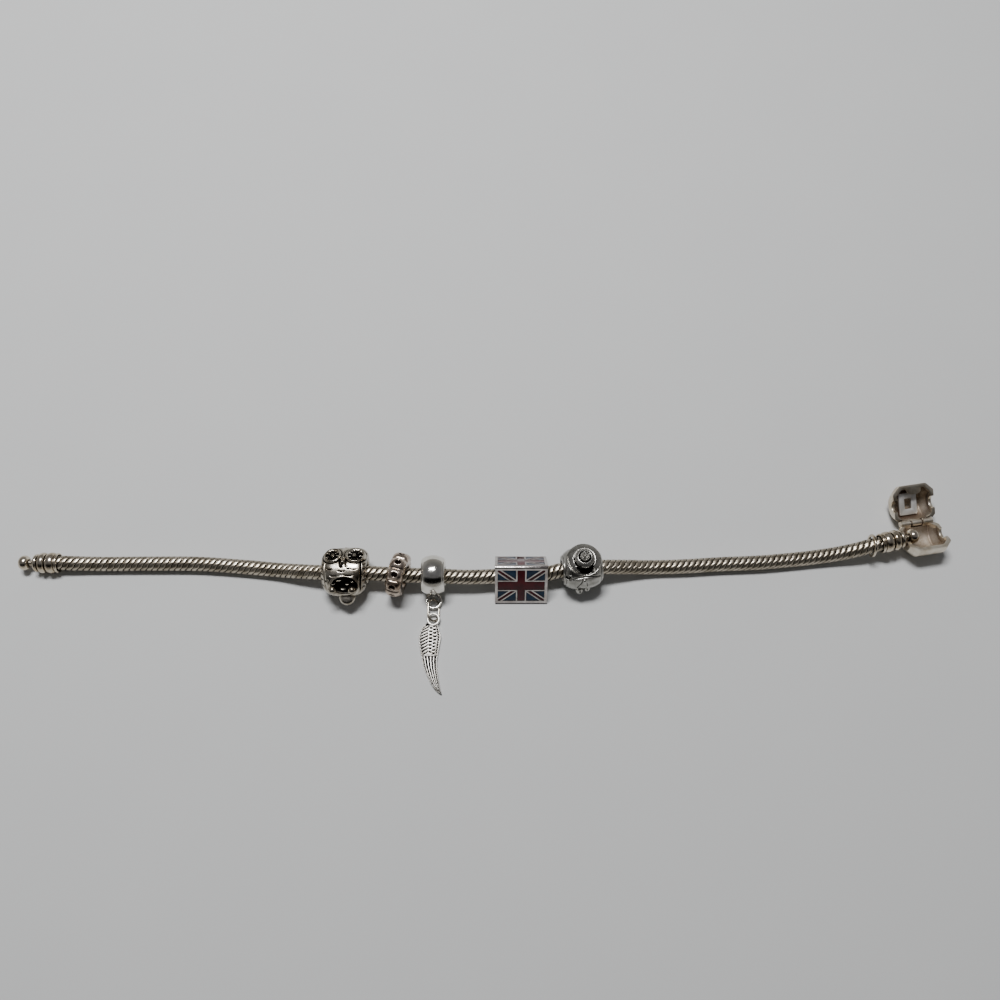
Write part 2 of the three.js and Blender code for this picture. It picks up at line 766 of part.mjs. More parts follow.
function flagPrism() {
  const shape = new THREE.Shape();
  const corner_reach = 2 * (flag_inner - flag_corner);
  [90, 210, 330].map(degrees).forEach((turn) => {
    const x = corner_reach * Math.cos(turn);
    const y = corner_reach * Math.sin(turn);
    shape.absarc(x, y, flag_corner, turn - Math.PI / 3, turn + Math.PI / 3, false);
  });
  const bore = [];
  for (let i = 0; i < bore_sides; i++) {
    const turn = (-2 * Math.PI * i) / bore_sides;
    bore.push(new THREE.Vector2(bead_bore * Math.cos(turn), bead_bore * Math.sin(turn)));
  }
  shape.holes.push(new THREE.Path(bore));
  const prism = new THREE.ExtrudeGeometry(shape, {
    depth: flag_length,
    bevelEnabled: false,
    curveSegments: 4,
  });
  prism.translate(0, 0, -flag_length / 2).rotateY(Math.PI / 2);
  return solidOf(prism.rotateX(Math.PI / 2));
}

// A face's cells, with x across the face and y up it, both from its middle
const face_half_width = flag_length / 2 - flag_frame;
const face_half_height = flag_side / 2 - flag_corner * 1.4 - flag_frame;

function flagCells() {
  const wide = face_half_width;
  const high = face_half_height;
  const upright = cross_upright / 2;
  const bar = cross_bar / 2;
  const cross_right = [
    [upright, -high],
    [upright, -bar],
    [wide, -bar],
    [wide, bar],
    [upright, bar],
    [upright, high],
  ];
  const cross_left = cross_right.map(([x, y]) => [-x, y]).reverse();
  const cells = [{ name: "cross", material: red_enamel, points: [...cross_right, ...cross_left] }];

  // Lines beside the diagonal, at a shift towards its upper side
  const diagonal = new THREE.Vector2(wide, high).normalize();
  const heightAt = (x, shift) => (x * diagonal.y + shift) / diagonal.x;
  const widthAt = (y, shift) => (y * diagonal.x - shift) / diagonal.y;
  const strip = saltire_width / 2;
  const field = strip + cell_wall;
  const field_left = upright + cell_wall;
  const field_low = bar + cell_wall;
  const quarter = [
    {
      name: "strip_",
      material: red_enamel,
      points: [
        [widthAt(field_low, -strip), field_low],
        [wide, heightAt(wide, -strip)],
        [wide, high],
        [widthAt(high, strip), high],
        [widthAt(field_low, strip), field_low],
      ],
    },
    {
      name: "field_top_",
      material: blue_enamel,
      points: [
        [field_left, high],
        [field_left, Math.max(field_low, heightAt(field_left, field))],
        [widthAt(high, field), high],
      ],
    },
    {
      name: "field_side_",
      material: blue_enamel,
      points: [
        [widthAt(field_low, -field), field_low],
        [wide, field_low],
        [wide, heightAt(wide, -field)],
      ],
    },
  ];
  const corners = [
    { name: "ne", right: 1, up: 1 },
    { name: "nw", right: -1, up: 1 },
    { name: "sw", right: -1, up: -1 },
    { name: "se", right: 1, up: -1 },
  ];
  corners.forEach((corner) => {
    quarter.forEach((cell) => {
      const points = cell.points.map(([x, y]) => [x * corner.right, y * corner.up]);
      cells.push({ name: cell.name + corner.name, material: cell.material, points });
    });
  });
  return cells;
}

// A cell as a thin prism on one face: sunk by its depth, and let past the face by its rise
function cellPrism(points, inset, sunk, rise, face) {
  const outline = points.map(([x, y]) => new THREE.Vector2(x, y));
  if (THREE.ShapeUtils.isClockWise(outline)) outline.reverse();
  const moved = outline.map((point, i) => {
    const before = outline[(i + outline.length - 1) % outline.length];
    const after = outline[(i + 1) % outline.length];
    const first = point.clone().sub(before).normalize();
    const second = after.clone().sub(point).normalize();
    const inward = new THREE.Vector2(-first.y - second.y, first.x + second.x);
    const reach = inset / (0.5 * inward.lengthSq());
    return point.clone().addScaledVector(inward, reach);
  });
  const prism = new THREE.ExtrudeGeometry(new THREE.Shape(moved), {
    depth: sunk + rise,
    bevelEnabled: false,
  });
  prism.translate(0, 0, flag_inner - sunk);
  return prism.rotateX(degrees(120 * face + 60));
}

const flag_group = new THREE.Group();
flag_group.position.copy(routeAt(flag_place).point).setZ(flag_inner);
bracelet.add(flag_group);
const flag_cells = flagCells();
const face_names = ["near", "far", "under"];
const face_turns = [0, 2, 1];
let flag_body = flagPrism();
face_turns.forEach((turn) => {
  flag_cells.forEach((cell) => {
    flag_body = flag_body.subtract(solidOf(cellPrism(cell.points, 0, cell_depth, 1, turn)));
  });
});
addPiece(flag_group, "flag_bead", geometryOf(flag_body), silver);
face_turns.forEach((turn, i) => {
  flag_cells.forEach((cell) => {
    const fill = cellPrism(cell.points, enamel_gap, cell_depth - enamel_gap, -enamel_gap, turn);
    addPiece(flag_group, "enamel_" + face_names[i] + "_" + cell.name, fill, cell.material);
  });
});

// The figure bead: a round body, with a stepped hat, a shaded face, a stud and two shoes
function figureOut(across) {
  const x = (across * figure_width) / 2;
  return figure_radius * (1 - figure_taper * Math.abs(x / (figure_width / 2)) ** 3);
}

function hatSolid() {
  const r = figure_hat_radius;
  const h = figure_hat_height;
  const profile = [
    [-1.2, 0],
    [-1.2, r * 0.75],
    [0, r],
    [0.2, r],
    [0.6 * h, r * 0.86],
    [0.85 * h, figure_brim_radius],
    [0.72 * h, figure_brim_radius * 0.94],
    [h, figure_knob_radius * 1.4],
    [0.95 * h, figure_knob_radius],
    [h + 0.7 * figure_knob_radius, figure_knob_radius * 0.75],
    [h + figure_knob_radius, 0],
  ];
  return solidOf(turned(profile, 20).rotateY(-Math.PI / 2));
}

function figureBead() {
  let body = solidOf(castBead(figure_width / 2, bead_bore, 24, 7, figureOut));
  const seat = figure_radius - 0.95 * figure_hat_height;
  body = body.add(hatSolid().translate(figure_hat_aside, figure_hat_back, seat));
  const face_y = -0.47 * figure_radius;
  const face_z = 0.87 * figure_radius;
  const shoe_y = -0.9 * figure_radius;
  const shoe_z = -0.12 * figure_radius;
  const face_shape = [1.45, 0.62, figure_face_depth / figure_face_radius];
  body = body.subtract(ellipsoid(figure_face_radius, face_shape, [0, face_y, face_z]));
  [-1, 1].forEach((side) => {
    const curl_place = [side * figure_curl_spread, face_y, face_z - figure_curl_drop];
    body = body.add(ellipsoid(figure_curl_radius, [1, 0.8, 1], curl_place));
    body = body.add(ellipsoid(figure_shoe_radius, [0.8, 1, 0.9], [side * 0.8, shoe_y, shoe_z]));
  });
  const stud_place = [0, -0.8 * figure_radius, 0.6 * figure_radius];
  body = body.add(ellipsoid(figure_stud_radius, [1, 1, 1], stud_place));
  const bore = new THREE.CylinderGeometry(bead_bore, bead_bore, 2 * figure_width, bore_sides);
  return geometryOf(body.subtract(solidOf(bore.rotateZ(Math.PI / 2))));
}
const figure_bead = addPiece(bracelet, "figure_bead", figureBead(), aged_silver);
const figure_seat = seatHeight(figure_bead.geometry);
figure_bead.position.set(figure_place, routeAt(figure_place).point.y, figure_seat);
figure_bead.rotation.z = degrees(figure_yaw);

// The origin goes to the bottom centre of the whole
bracelet.updateMatrixWorld(true);
const box = new THREE.Box3().setFromObject(bracelet, true);
const middle = box.getCenter(new THREE.Vector3());
bracelet.position.set(-middle.x, -middle.y, -box.min.z);

export default bracelet;
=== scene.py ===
# A silver charm bracelet, open on a pale table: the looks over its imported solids.
# Sizes are in millimetres unless a name says otherwise, and meshes turn to metres when made.
import math

import bmesh
import bpy
import numpy as np
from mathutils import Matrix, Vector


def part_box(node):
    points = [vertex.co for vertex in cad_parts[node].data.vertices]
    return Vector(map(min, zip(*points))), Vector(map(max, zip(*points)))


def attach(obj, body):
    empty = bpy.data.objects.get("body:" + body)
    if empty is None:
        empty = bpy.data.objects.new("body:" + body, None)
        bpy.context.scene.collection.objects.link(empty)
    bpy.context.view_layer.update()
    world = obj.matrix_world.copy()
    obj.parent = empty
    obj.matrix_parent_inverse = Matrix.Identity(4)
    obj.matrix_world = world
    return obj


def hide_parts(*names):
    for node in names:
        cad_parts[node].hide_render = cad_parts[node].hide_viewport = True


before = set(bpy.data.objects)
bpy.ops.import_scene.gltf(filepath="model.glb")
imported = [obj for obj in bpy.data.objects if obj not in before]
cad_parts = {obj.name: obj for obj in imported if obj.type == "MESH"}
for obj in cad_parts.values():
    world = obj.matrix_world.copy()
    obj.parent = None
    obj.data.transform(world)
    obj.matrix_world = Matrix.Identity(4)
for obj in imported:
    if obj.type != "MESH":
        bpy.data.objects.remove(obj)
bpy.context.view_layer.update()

# From the chain route's own zero to the bottom centre of the whole bracelet, by the flag bead
flag_on_route = np.array([4.4, -1.65])
flag_low, flag_high = (np.array(corner) * 1000 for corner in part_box("flag_bead"))
route_shift = np.array([*((flag_low + flag_high)[:2] / 2 - flag_on_route), 0.0])

# The camera: a phone held over the near edge of the table, 68 degrees above it,
# with a plain lens and no blur. It is made first, and nothing else depends on it.
camera_data = bpy.data.cameras.new("camera")
camera_data.sensor_width = 36
camera_data.lens = 34.56
camera = bpy.data.objects.new("camera", camera_data)
camera.location = (route_shift + [0, -62.6, 196.5]) / 1000
camera.rotation_euler = (math.radians(22), 0, 0)
bpy.context.scene.collection.objects.link(camera)
bpy.context.scene.camera = camera


# The table and the room: a pale matt board under a wide soft ceiling light.
# Low over the near edge the room has a dark patch, which all the silver mirrors.
def linear(hex_colour):
    """An sRGB hex colour as linear red, green, blue and alpha."""
    parts = [int(hex_colour[i : i + 2], 16) / 255 for i in (0, 2, 4)]
    return [c / 12.92 if c <= 0.04045 else ((c + 0.055) / 1.055) ** 2.4 for c in parts] + [1]


def add_node(tree, kind, settings=None, links=None):
    """A node with its settings (of the node, or of its sockets) and the links into it."""
    node = tree.nodes.new(kind)
    for name, value in (settings or {}).items():
        if isinstance(name, str) and name not in node.inputs:
            setattr(node, name, value)
        else:
            node.inputs[name].default_value = value
    for socket, source in (links or {}).items():
        tree.links.new(source, node.inputs[socket])
    return node


table_half_size = 2.0
table_mesh = bpy.data.meshes.new("table_top")
table_corners = [(-1, -1, 0), (1, -1, 0), (1, 1, 0), (-1, 1, 0)]
table_mesh.from_pydata([[table_half_size * c for c in p] for p in table_corners], [], [(0, 1, 2, 3)])
table_top = bpy.data.objects.new("table_top", table_mesh)
bpy.context.scene.collection.objects.link(table_top)

# Painted board, rolled matt: it gives the eye a flat pale grey with the faintest mottle.
painted_board = bpy.data.materials.new("painted_board_matt")
painted_board.use_nodes = True
tree = painted_board.node_tree
shader = tree.nodes["Principled BSDF"]
shader.inputs["Roughness"].default_value = 0.75
shader.inputs["Specular IOR Level"].default_value = 0.25
place = add_node(tree, "ShaderNodeTexCoord").outputs["Object"]
mottle = add_node(tree, "ShaderNodeTexNoise", {"Scale": 40, "Detail": 6}, {"Vector": place})
shade = add_node(
    tree,
    "ShaderNodeMix",
    {"data_type": "RGBA", 6: linear("cbcccb"), 7: linear("cfd0ce")},
    {0: mottle.outputs["Fac"]},
)
tree.links.new(shade.outputs[2], shader.inputs["Base Color"])
table_mesh.materials.append(painted_board)

ceiling_data = bpy.data.lights.new("ceiling_light", "AREA")
ceiling_data.shape = "RECTANGLE"
ceiling_data.size = 0.25
ceiling_data.size_y = 0.12
ceiling_data.energy = 5.1
ceiling_data.color = linear("fdfdff")[:3]
ceiling_light = bpy.data.objects.new("ceiling_light", ceiling_data)
ceiling_light.location = (-0.075, 0.2, 0.6)
ceiling_light.rotation_euler = (math.radians(10), math.radians(4), 0)
bpy.context.scene.collection.objects.link(ceiling_light)

# The room: pale walls that darken towards the ceiling, and a soft dark patch low over the near edge
shade_height = math.radians(37)
shade_half_width = 0.85
shade_half_height = 0.30
room = bpy.data.worlds.new("room")
room.use_nodes = True
tree = room.node_tree
background = tree.nodes["Background"]
facing = add_node(tree, "ShaderNodeTexCoord").outputs["Generated"]


def reach_along(tree, vector, axis):
    """How far the vector reaches along an axis."""
    reach = add_node(tree, "ShaderNodeVectorMath", {"operation": "DOT_PRODUCT", 1: axis}, {0: vector})
    return reach.outputs["Value"]


def fourth_power(tree, value):
    """The value's size to the fourth power."""
    size = add_node(tree, "ShaderNodeMath", {"operation": "ABSOLUTE"}, {0: value})
    return add_node(tree, "ShaderNodeMath", {"operation": "POWER", 1: 4}, {0: size.outputs[0]}).outputs[0]


cos, sin = math.cos(shade_height), math.sin(shade_height)
sideways = reach_along(tree, facing, (1 / shade_half_width, 0, 0))
upwards = reach_along(tree, facing, (0, sin / shade_half_height, cos / shade_half_height))
towards = reach_along(tree, facing, (0, -cos, sin))
in_front = add_node(tree, "ShaderNodeMapRange", {"From Min": 0.0, "From Max": 0.2}, {"Value": towards})
spread = add_node(
    tree,
    "ShaderNodeMath",
    {"operation": "ADD"},
    {0: fourth_power(tree, sideways), 1: fourth_power(tree, upwards)},
)
patch = add_node(
    tree,
    "ShaderNodeMapRange",
    {"interpolation_type": "SMOOTHSTEP", "From Min": 0.35, "From Max": 1.5, "To Min": 1.0, "To Max": 0.0},
    {"Value": spread.outputs[0]},
)
shaded = add_node(
    tree,
    "ShaderNodeMath",
    {"operation": "MULTIPLY"},
    {0: patch.outputs["Result"], 1: in_front.outputs["Result"]},
)
rise = add_node(
    tree,
    "ShaderNodeMapRange",
    {"From Min": 0.0, "From Max": 0.8},
    {"Value": reach_along(tree, facing, (0, 0, 1))},
)
walls = add_node(
    tree,
    "ShaderNodeMix",
    {"data_type": "RGBA", 6: linear("959492"), 7: linear("5e5e61")},
    {0: rise.outputs["Result"]},
)
seen = add_node(
    tree,
    "ShaderNodeMix",
    {"data_type": "RGBA", 7: linear("050505")},
    {0: shaded.outputs[0], 6: walls.outputs[2]},
)
tree.links.new(seen.outputs[2], background.inputs["Color"])
bpy.context.scene.world = room


# The chain: a snake chain of sterling silver, 3.1 mm thick. Each link is a thin wavy cup,
# pressed, hooked into the last and bent shut, so the outside shows slanted lobes and dark slits.
chain_radius = 1.55
link_pitch = 1.207
lobes = 8
lobe_start = math.radians(85)
helix_starts = 5
# The chain's middle line, from the ball end to the clasp: x, y and height
chain_route = [
    (-95.2, 1.47, 2.2),
    (-92.2, 1.46, 2.12),
    (-88.2, 1.45, 1.76),
    (-84.0, 1.44, 1.58),
    (-74.5, 1.5, 1.58),
    (-64.0, 1.44, 1.58),
    (-53.2, 0.66, 1.58),
    (-47.0, 0.0, 1.85),
    (-42.0, -0.65, 2.85),
    (-37.0, -1.15, 3.75),
    (-32.4, -1.27, 3.98),
    (-27.8, -1.39, 4.15),
    (-21.3, -1.9, 4.35),
    (-18.0, -1.95, 4.25),
    (-14.0, -1.85, 4.05),
    (-10.4, -2.05, 3.85),
    (-6.4, -2.1, 3.6),
    (-1.0, -1.85, 3.35),
    (4.4, -1.65, 3.2),
    (9.9, -1.3, 3.38),
    (12.8, -0.75, 3.98),
    (17.1, -0.45, 4.15),
    (21.5, -0.05, 4.08),
    (27.0, 0.4, 2.75),
    (32.0, 0.67, 1.68),
    (38.7, 0.89, 1.58),
    (47.2, 1.4, 1.58),
    (55.3, 1.75, 1.58),
    (61.5, 2.3, 1.58),
    (67.0, 2.9, 1.66),
    (71.5, 3.45, 2.1),
    (75.5, 4.03, 3.05),
    (79.2, 4.82, 3.92),
    (82.1, 5.5, 4.1),
]


def smooth_route(knots, steps):
    """Points along a smooth curve through the knots, and how far along it each one is."""
    knots = [2 * knots[0] - knots[1], *knots, 2 * knots[-1] - knots[-2]]
    points = []
    for p0, p1, p2, p3 in zip(knots, knots[1:], knots[2:], knots[3:]):
        gaps = [math.sqrt(np.linalg.norm(b - a)) for a, b in ((p0, p1), (p1, p2), (p2, p3))]
        start = (p1 - p0) / gaps[0] - (p2 - p0) / (gaps[0] + gaps[1]) + (p2 - p1) / gaps[1]
        end = (p2 - p1) / gaps[1] - (p3 - p1) / (gaps[1] + gaps[2]) + (p3 - p2) / gaps[2]
        start, end = start * gaps[1], end * gaps[1]
        for i in range(steps):
            t = i / steps
            points.append(
                (2 * t**3 - 3 * t**2 + 1) * p1
                + (t**3 - 2 * t**2 + t) * start
                + (3 * t**2 - 2 * t**3) * p2
                + (t**3 - t**2) * end
            )
    points.append(knots[-2])
    points = np.array(points)
    lengths = np.linalg.norm(np.diff(points, axis=0), axis=1)
    return points, np.concatenate([[0], np.cumsum(lengths)])


def near(value, middle, width):
    """1 where value is at its middle, and a smooth fall to nothing over about two widths."""
    return np.exp(-(((value - middle) / width) ** 2))


def grid_faces(rows, columns, closed_rows=False, closed_columns=False):
    """Four sided faces of a grid of points, row by row, joined round where it is closed."""
    i, j = np.meshgrid(
        np.arange(rows if closed_rows else rows - 1),
        np.arange(columns if closed_columns else columns - 1),
        indexing="ij",
    )
    i, j = i.ravel(), j.ravel()
    a, b = i * columns, (i + 1) % rows * columns
    k = (j + 1) % columns
    return np.stack([a + j, b + j, b + k, a + k], axis=1).tolist()


def note_recess(mesh, sunk):
    """Notes on every point how deep it lies: 0 on the open surface, 1 where it stays black."""
    mark = mesh.attributes.new("recess", "FLOAT", "POINT")
    mark.data.foreach_set("value", np.ravel(sunk).astype(np.float32))


def mark_recesses(mesh, passes, depth):
    """Finds how deep each point lies below a smoothed copy of the surface, as a share of depth."""
    count = len(mesh.vertices)
    place = np.empty(count * 3, np.float32)
    mesh.vertices.foreach_get("co", place)
    place = place.reshape(-1, 3).astype(float)
    ends = np.empty(len(mesh.edges) * 2, np.int32)
    mesh.edges.foreach_get("vertices", ends)
    one, two = ends[0::2], ends[1::2]
    degree = np.bincount(one, minlength=count) + np.bincount(two, minlength=count)
    smooth = place.copy()
    for _ in range(passes):
        total = [
            np.bincount(one, smooth[two, k], count) + np.bincount(two, smooth[one, k], count)
            for k in range(3)
        ]
        smooth = 0.5 * smooth + 0.5 * np.stack(total, 1) / degree[:, None]
    normals = np.empty(count * 3, np.float32)
    mesh.vertex_normals.foreach_get("vector", normals)
    sunk = ((smooth - place) * normals.reshape(-1, 3)).sum(1) * 1000 / depth
    note_recess(mesh, np.clip(sunk - np.median(sunk), -1, 1))


def new_piece(name, points, faces, material):
    """A mesh piece from points in millimetres in the bracelet's own axes."""
    mesh = bpy.data.meshes.new(name)
    mesh.from_pydata((np.asarray(points) * 0.001).tolist(), [], faces)
    mesh.materials.append(material)
    mesh.polygons.foreach_set("use_smooth", [True] * len(mesh.polygons))
    mesh.update()
    solid = bmesh.new()
    solid.from_mesh(mesh)
    if solid.calc_volume(signed=True) < 0:
        mesh.flip_normals()
    solid.free()
    piece = bpy.data.objects.new(name, mesh)
    bpy.context.scene.collection.objects.link(piece)
    return piece


def worn_silver(name, bright, dull, oxide, gloss, oxide_and_shade_start, oxide_and_shade_end, fleck, shelter):
    """Silver that has been cast or pressed, tumbled bright, and has blackened where nothing rubs it.
    The eye sees pale crests, a warm dull film in soft clouds, and near black hollows.
    gloss is the roughness of its bright parts. The black begins at a recess of oxide_and_shade_start and is
    full at oxide_and_shade_end, and fleck breaks up its edge. shelter is how near, in millimetres, another
    surface, the table too, darkens the colour: partly oxide where a polishing cloth can't reach,
    partly painted shade in corners, between parts and where a piece touches another."""
    material = bpy.data.materials.new(name)
    material.use_nodes = True
    tree = material.node_tree
    shader = tree.nodes["Principled BSDF"]
    shader.inputs["Metallic"].default_value = 1.0
    place = add_node(tree, "ShaderNodeTexCoord").outputs["Object"]
    sunk = add_node(tree, "ShaderNodeAttribute", {"attribute_name": "recess"}).outputs["Fac"]
    # Clouds of film about 2 mm across, and pits and rub marks of about 0.2 mm
    cloud_look = {"Scale": 480, "Detail": 4, "Roughness": 0.6}
    clouds = add_node(tree, "ShaderNodeTexNoise", cloud_look, {"Vector": place})
    pit_look = {"Scale": 5200, "Detail": 3, "Roughness": 0.55}
    pits = add_node(tree, "ShaderNodeTexNoise", pit_look, {"Vector": place})
    film = add_node(
        tree,
        "ShaderNodeMapRange",
        {"interpolation_type": "SMOOTHSTEP", "From Min": 0.36, "From Max": 0.68},
        {"Value": clouds.outputs["Fac"]},
    )
    filmed = add_node(
        tree,
        "ShaderNodeMix",
        {"data_type": "RGBA", 6: linear(bright), 7: linear(dull)},
        {0: film.outputs["Result"]},
    )
    uneven = add_node(
        tree,
        "ShaderNodeMath",
        {"operation": "MULTIPLY_ADD", 1: fleck, 2: -fleck / 2},
        {0: pits.outputs["Fac"]},
    )
    marked = add_node(tree, "ShaderNodeMath", {"operation": "ADD"}, {0: sunk, 1: uneven.outputs[0]})
    # Darkened within shelter millimetres of another surface: partly oxide that a polishing cloth
    # can't reach, partly painted shade in corners, between parts and at contacts
    open_share = add_node(tree, "ShaderNodeAmbientOcclusion", {"samples": 6, "Distance": shelter / 1000})
    sunk_and_shaded = add_node(
        tree,
        "ShaderNodeMath",
        {"operation": "MULTIPLY_ADD", 1: -0.9},
        {0: open_share.outputs["AO"], 2: marked.outputs[0]},
    )
    sunk_and_shaded = add_node(tree, "ShaderNodeMath", {"operation": "ADD", 1: 0.85}, {0: sunk_and_shaded.outputs[0]})
    # The black: oxide in recesses, and painted shade wherever the AO finds another surface near
    oxide_and_shade = add_node(
        tree,
        "ShaderNodeMapRange",
        {"interpolation_type": "SMOOTHSTEP", "From Min": oxide_and_shade_start, "From Max": oxide_and_shade_end},
        {"Value": sunk_and_shaded.outputs[0]},
    )
    coloured = add_node(
        tree,
        "ShaderNodeMix",
        {"data_type": "RGBA", 7: linear(oxide)},
        {0: oxide_and_shade.outputs["Result"], 6: filmed.outputs[2]},
    )
    tree.links.new(coloured.outputs[2], shader.inputs["Base Color"])
    polish = add_node(
        tree,
        "ShaderNodeMapRange",
        {"From Min": 0.3, "From Max": 0.7, "To Min": gloss, "To Max": gloss + 0.12},
        {"Value": pits.outputs["Fac"]},
    )
    rough = add_node(
        tree,
        "ShaderNodeMath",
        {"operation": "MULTIPLY_ADD", 1: 0.35},
        {0: oxide_and_shade.outputs["Result"], 2: polish.outputs["Result"]},
    )
    tree.links.new(rough.outputs[0], shader.inputs["Roughness"])
    dents = add_node(
        tree,
        "ShaderNodeBump",
        {"Strength": 0.35, "Distance": 0.00003},
        {"Height": pits.outputs["Fac"]},
    )
    tree.links.new(dents.outputs["Normal"], shader.inputs["Normal"])
    return material


# Pressed, then oxidised: the eye sees warm grey lobes with a soft gleam over near black slits.
chain_silver = worn_silver(
    "pressed_silver_oxidised",
    bright="c4baa9",
    dull="938977",
    oxide="0d0a08",
    gloss=0.25,
    oxide_and_shade_start=0.0,
    oxide_and_shade_end=0.5,
    fleck=0.25,
    shelter=0.5,
)

route_points, route_lengths = smooth_route([np.array(p) + route_shift for p in chain_route], 40)
link_count = round(route_lengths[-1] / link_pitch)
pitch = route_lengths[-1] / link_count
# Places along one link, from one slit to the next, and how far each is sunk
link_profile = [
    (0, 0.3),
    (0.05, 0.2),
    (0.11, 0.07),
    (0.22, 0.025),
    (0.4, 0.0),
    (0.6, 0.0),
    (0.78, 0.025),
    (0.89, 0.07),
    (0.95, 0.2),
]
lobe_steps = 7
turn_steps = lobes * lobe_steps
turns = -2 * math.pi * np.arange(turn_steps) / turn_steps
ring_places = []
ring_depths = []
for link in range(-helix_starts, link_count + 1):
    for share, depth in link_profile:
        ring_places.append((link + share) * pitch)
        ring_depths.append(depth)
ring_places = np.array(ring_places)
ring_depths = np.array(ring_depths)
slant = helix_starts * pitch / (2 * math.pi)
wave = 0.07 * np.sin(lobes * (turns - lobe_start))
along = ring_places[:, None] + (wave - slant * turns)[None, :]
along = np.clip(along, 0.02 * pitch, route_lengths[-1] - 0.02 * pitch)
centre = np.stack([np.interp(along, route_lengths, route_points[:, k]) for k in range(3)], -1)
ahead = np.stack([np.interp(along + 0.2, route_lengths, route_points[:, k]) for k in range(3)], -1)
behind = np.stack([np.interp(along - 0.2, route_lengths, route_points[:, k]) for k in range(3)], -1)
direction = ahead - behind
direction /= np.linalg.norm(direction, axis=-1, keepdims=True)
side = np.cross([0, 0, 1], direction)
side /= np.linalg.norm(side, axis=-1, keepdims=True)
up = np.cross(direction, side)
from_groove = (turns - lobe_start + math.pi / lobes) % (2 * math.pi / lobes) - math.pi / lobes
groove = near(from_groove, 0, 0.13)
radius = chain_radius - ring_depths[:, None] - 0.07 * groove[None, :] * (0.6 + 2.2 * ring_depths[:, None])
chain_points = centre + radius[..., None] * (
    np.cos(turns)[None, :, None] * side + np.sin(turns)[None, :, None] * up
)
rows, columns = along.shape
chain_faces = grid_faces(rows, columns)
# The seam joins each ring's last point to the first point of the ring five links on
seam_step = helix_starts * len(link_profile)
for i in range(rows - 1):
    far, next_far = min(i + seam_step, rows - 1), min(i + 1 + seam_step, rows - 1)
    if far != next_far:
        last = i * columns + columns - 1
        chain_faces.append([last, last + columns, next_far * columns, far * columns])
chain_piece = new_piece("snake_chain", chain_points.reshape(-1, 3), chain_faces, chain_silver)
mark_recesses(chain_piece.data, passes=8, depth=0.09)
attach(chain_piece, "bracelet")
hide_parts("chain")


# The chain's two ends: cast silver caps crimped on the chain, turned with three ribs, a thin
# neck and a button head. The loose flat ring beside the clasp's cap is a thin stamped washer.
# Their profile: how far along from the head's tip, and how far out from the middle
head_and_cap = [
    (0.0, 0.05),
    (0.08, 0.62),
    (0.35, 1.16),
    (0.84, 1.5),
    (1.32, 1.57),
    (1.8, 1.46),
    (2.16, 1.1),
    (2.28, 0.66),
    (2.6, 0.58),
    (3.1, 0.58),
    (3.34, 0.7),
    (3.42, 1.3),
    (3.52, 1.7),
    (3.85, 1.92),
    (4.2, 1.87),
    (4.38, 1.5),
    (4.54, 1.52),
    (4.68, 2.02),
    (5.1, 2.19),
    (5.6, 2.17),
    (5.88, 1.95),
    (5.98, 1.58),
    (6.12, 1.58),
    (6.26, 1.97),
    (6.8, 2.19),
    (7.4, 2.18),
    (7.78, 2.0),
    (7.92, 1.74),
    (8.04, 1.76),
    (8.2, 2.06),
    (8.46, 2.09),
    (8.6, 1.98),
    (8.58, 1.76),
    (8.3, 1.72),
    (7.0, 1.72),
    (6.3, 1.72),
    (6.24, 1.2),
    (6.24, 0.02),
]
cap_hold = 1.5
end_cap_yaw = math.radians(13)
end_cap_axis = np.array([math.cos(end_cap_yaw), math.sin(end_cap_yaw), 0])
end_cap_drop = 0.2


def turned_about_x(profile, sides, smoothing=5):
    """Points and faces of a profile (along X, out from it) turned once round the X axis."""
    outline = np.array(profile, float)
    if smoothing:
        outline = smooth_route(list(outline), smoothing)[0]
    angle = 2 * math.pi * np.arange(sides) / sides
    x = np.repeat(outline[:, :1], sides, axis=1)
    y = outline[:, 1:] * np.cos(angle)
    z = outline[:, 1:] * np.sin(angle)
    return np.stack([x, y, z], -1).reshape(-1, 3), grid_faces(len(outline), sides, closed_columns=True)


def turned_to(points, yaw=0.0, roll=0.0, place=(0, 0, 0)):
    """Points rolled about X, then yawed about Z, then moved to their place."""
    cos, sin = math.cos(roll), math.sin(roll)
    rolled = points @ np.array([[1, 0, 0], [0, cos, -sin], [0, sin, cos]]).T
    cos, sin = math.cos(yaw), math.sin(yaw)
    return rolled @ np.array([[cos, -sin, 0], [sin, cos, 0], [0, 0, 1]]).T + np.array(place)


# Cast, then turned: the eye sees cream ribs with a bright line on each and black gaps between.
cap_silver = worn_silver(
    "cast_silver_turned",
    bright="ddd3c2",
    dull="b3a48b",
    oxide="17120d",
    gloss=0.13,
    oxide_and_shade_start=0.2,
    oxide_and_shade_end=0.85,
    fleck=0.3,
    shelter=0.8,
)
cap_sides = 56
cap_points, cap_faces = turned_about_x(head_and_cap, cap_sides)
end_length = max(along for along, out in head_and_cap)
start_place = route_points[0]
cap_radius = 2.2
ball_end_place = (start_place[0] - end_length + cap_hold, start_place[1], cap_radius)
ball_end = new_piece("ball_end_cap", turned_to(cap_points, place=ball_end_place), cap_faces, cap_silver)
mark_recesses(ball_end.data, passes=30, depth=0.12)
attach(ball_end, "bracelet")
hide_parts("ball_end")

barrel_radius = 4.3
end_place = route_points[-1]
end_cap_tip = end_place + end_cap_axis * (end_length - cap_hold)
end_cap_tip[2] = barrel_radius - end_cap_drop
end_cap_points = turned_to(cap_points, yaw=end_cap_yaw + math.pi, place=end_cap_tip)
end_cap = new_piece("clasp_end_cap", end_cap_points, cap_faces, cap_silver)
mark_recesses(end_cap.data, passes=30, depth=0.12)
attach(end_cap, "bracelet")
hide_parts("clasp_end_cap")

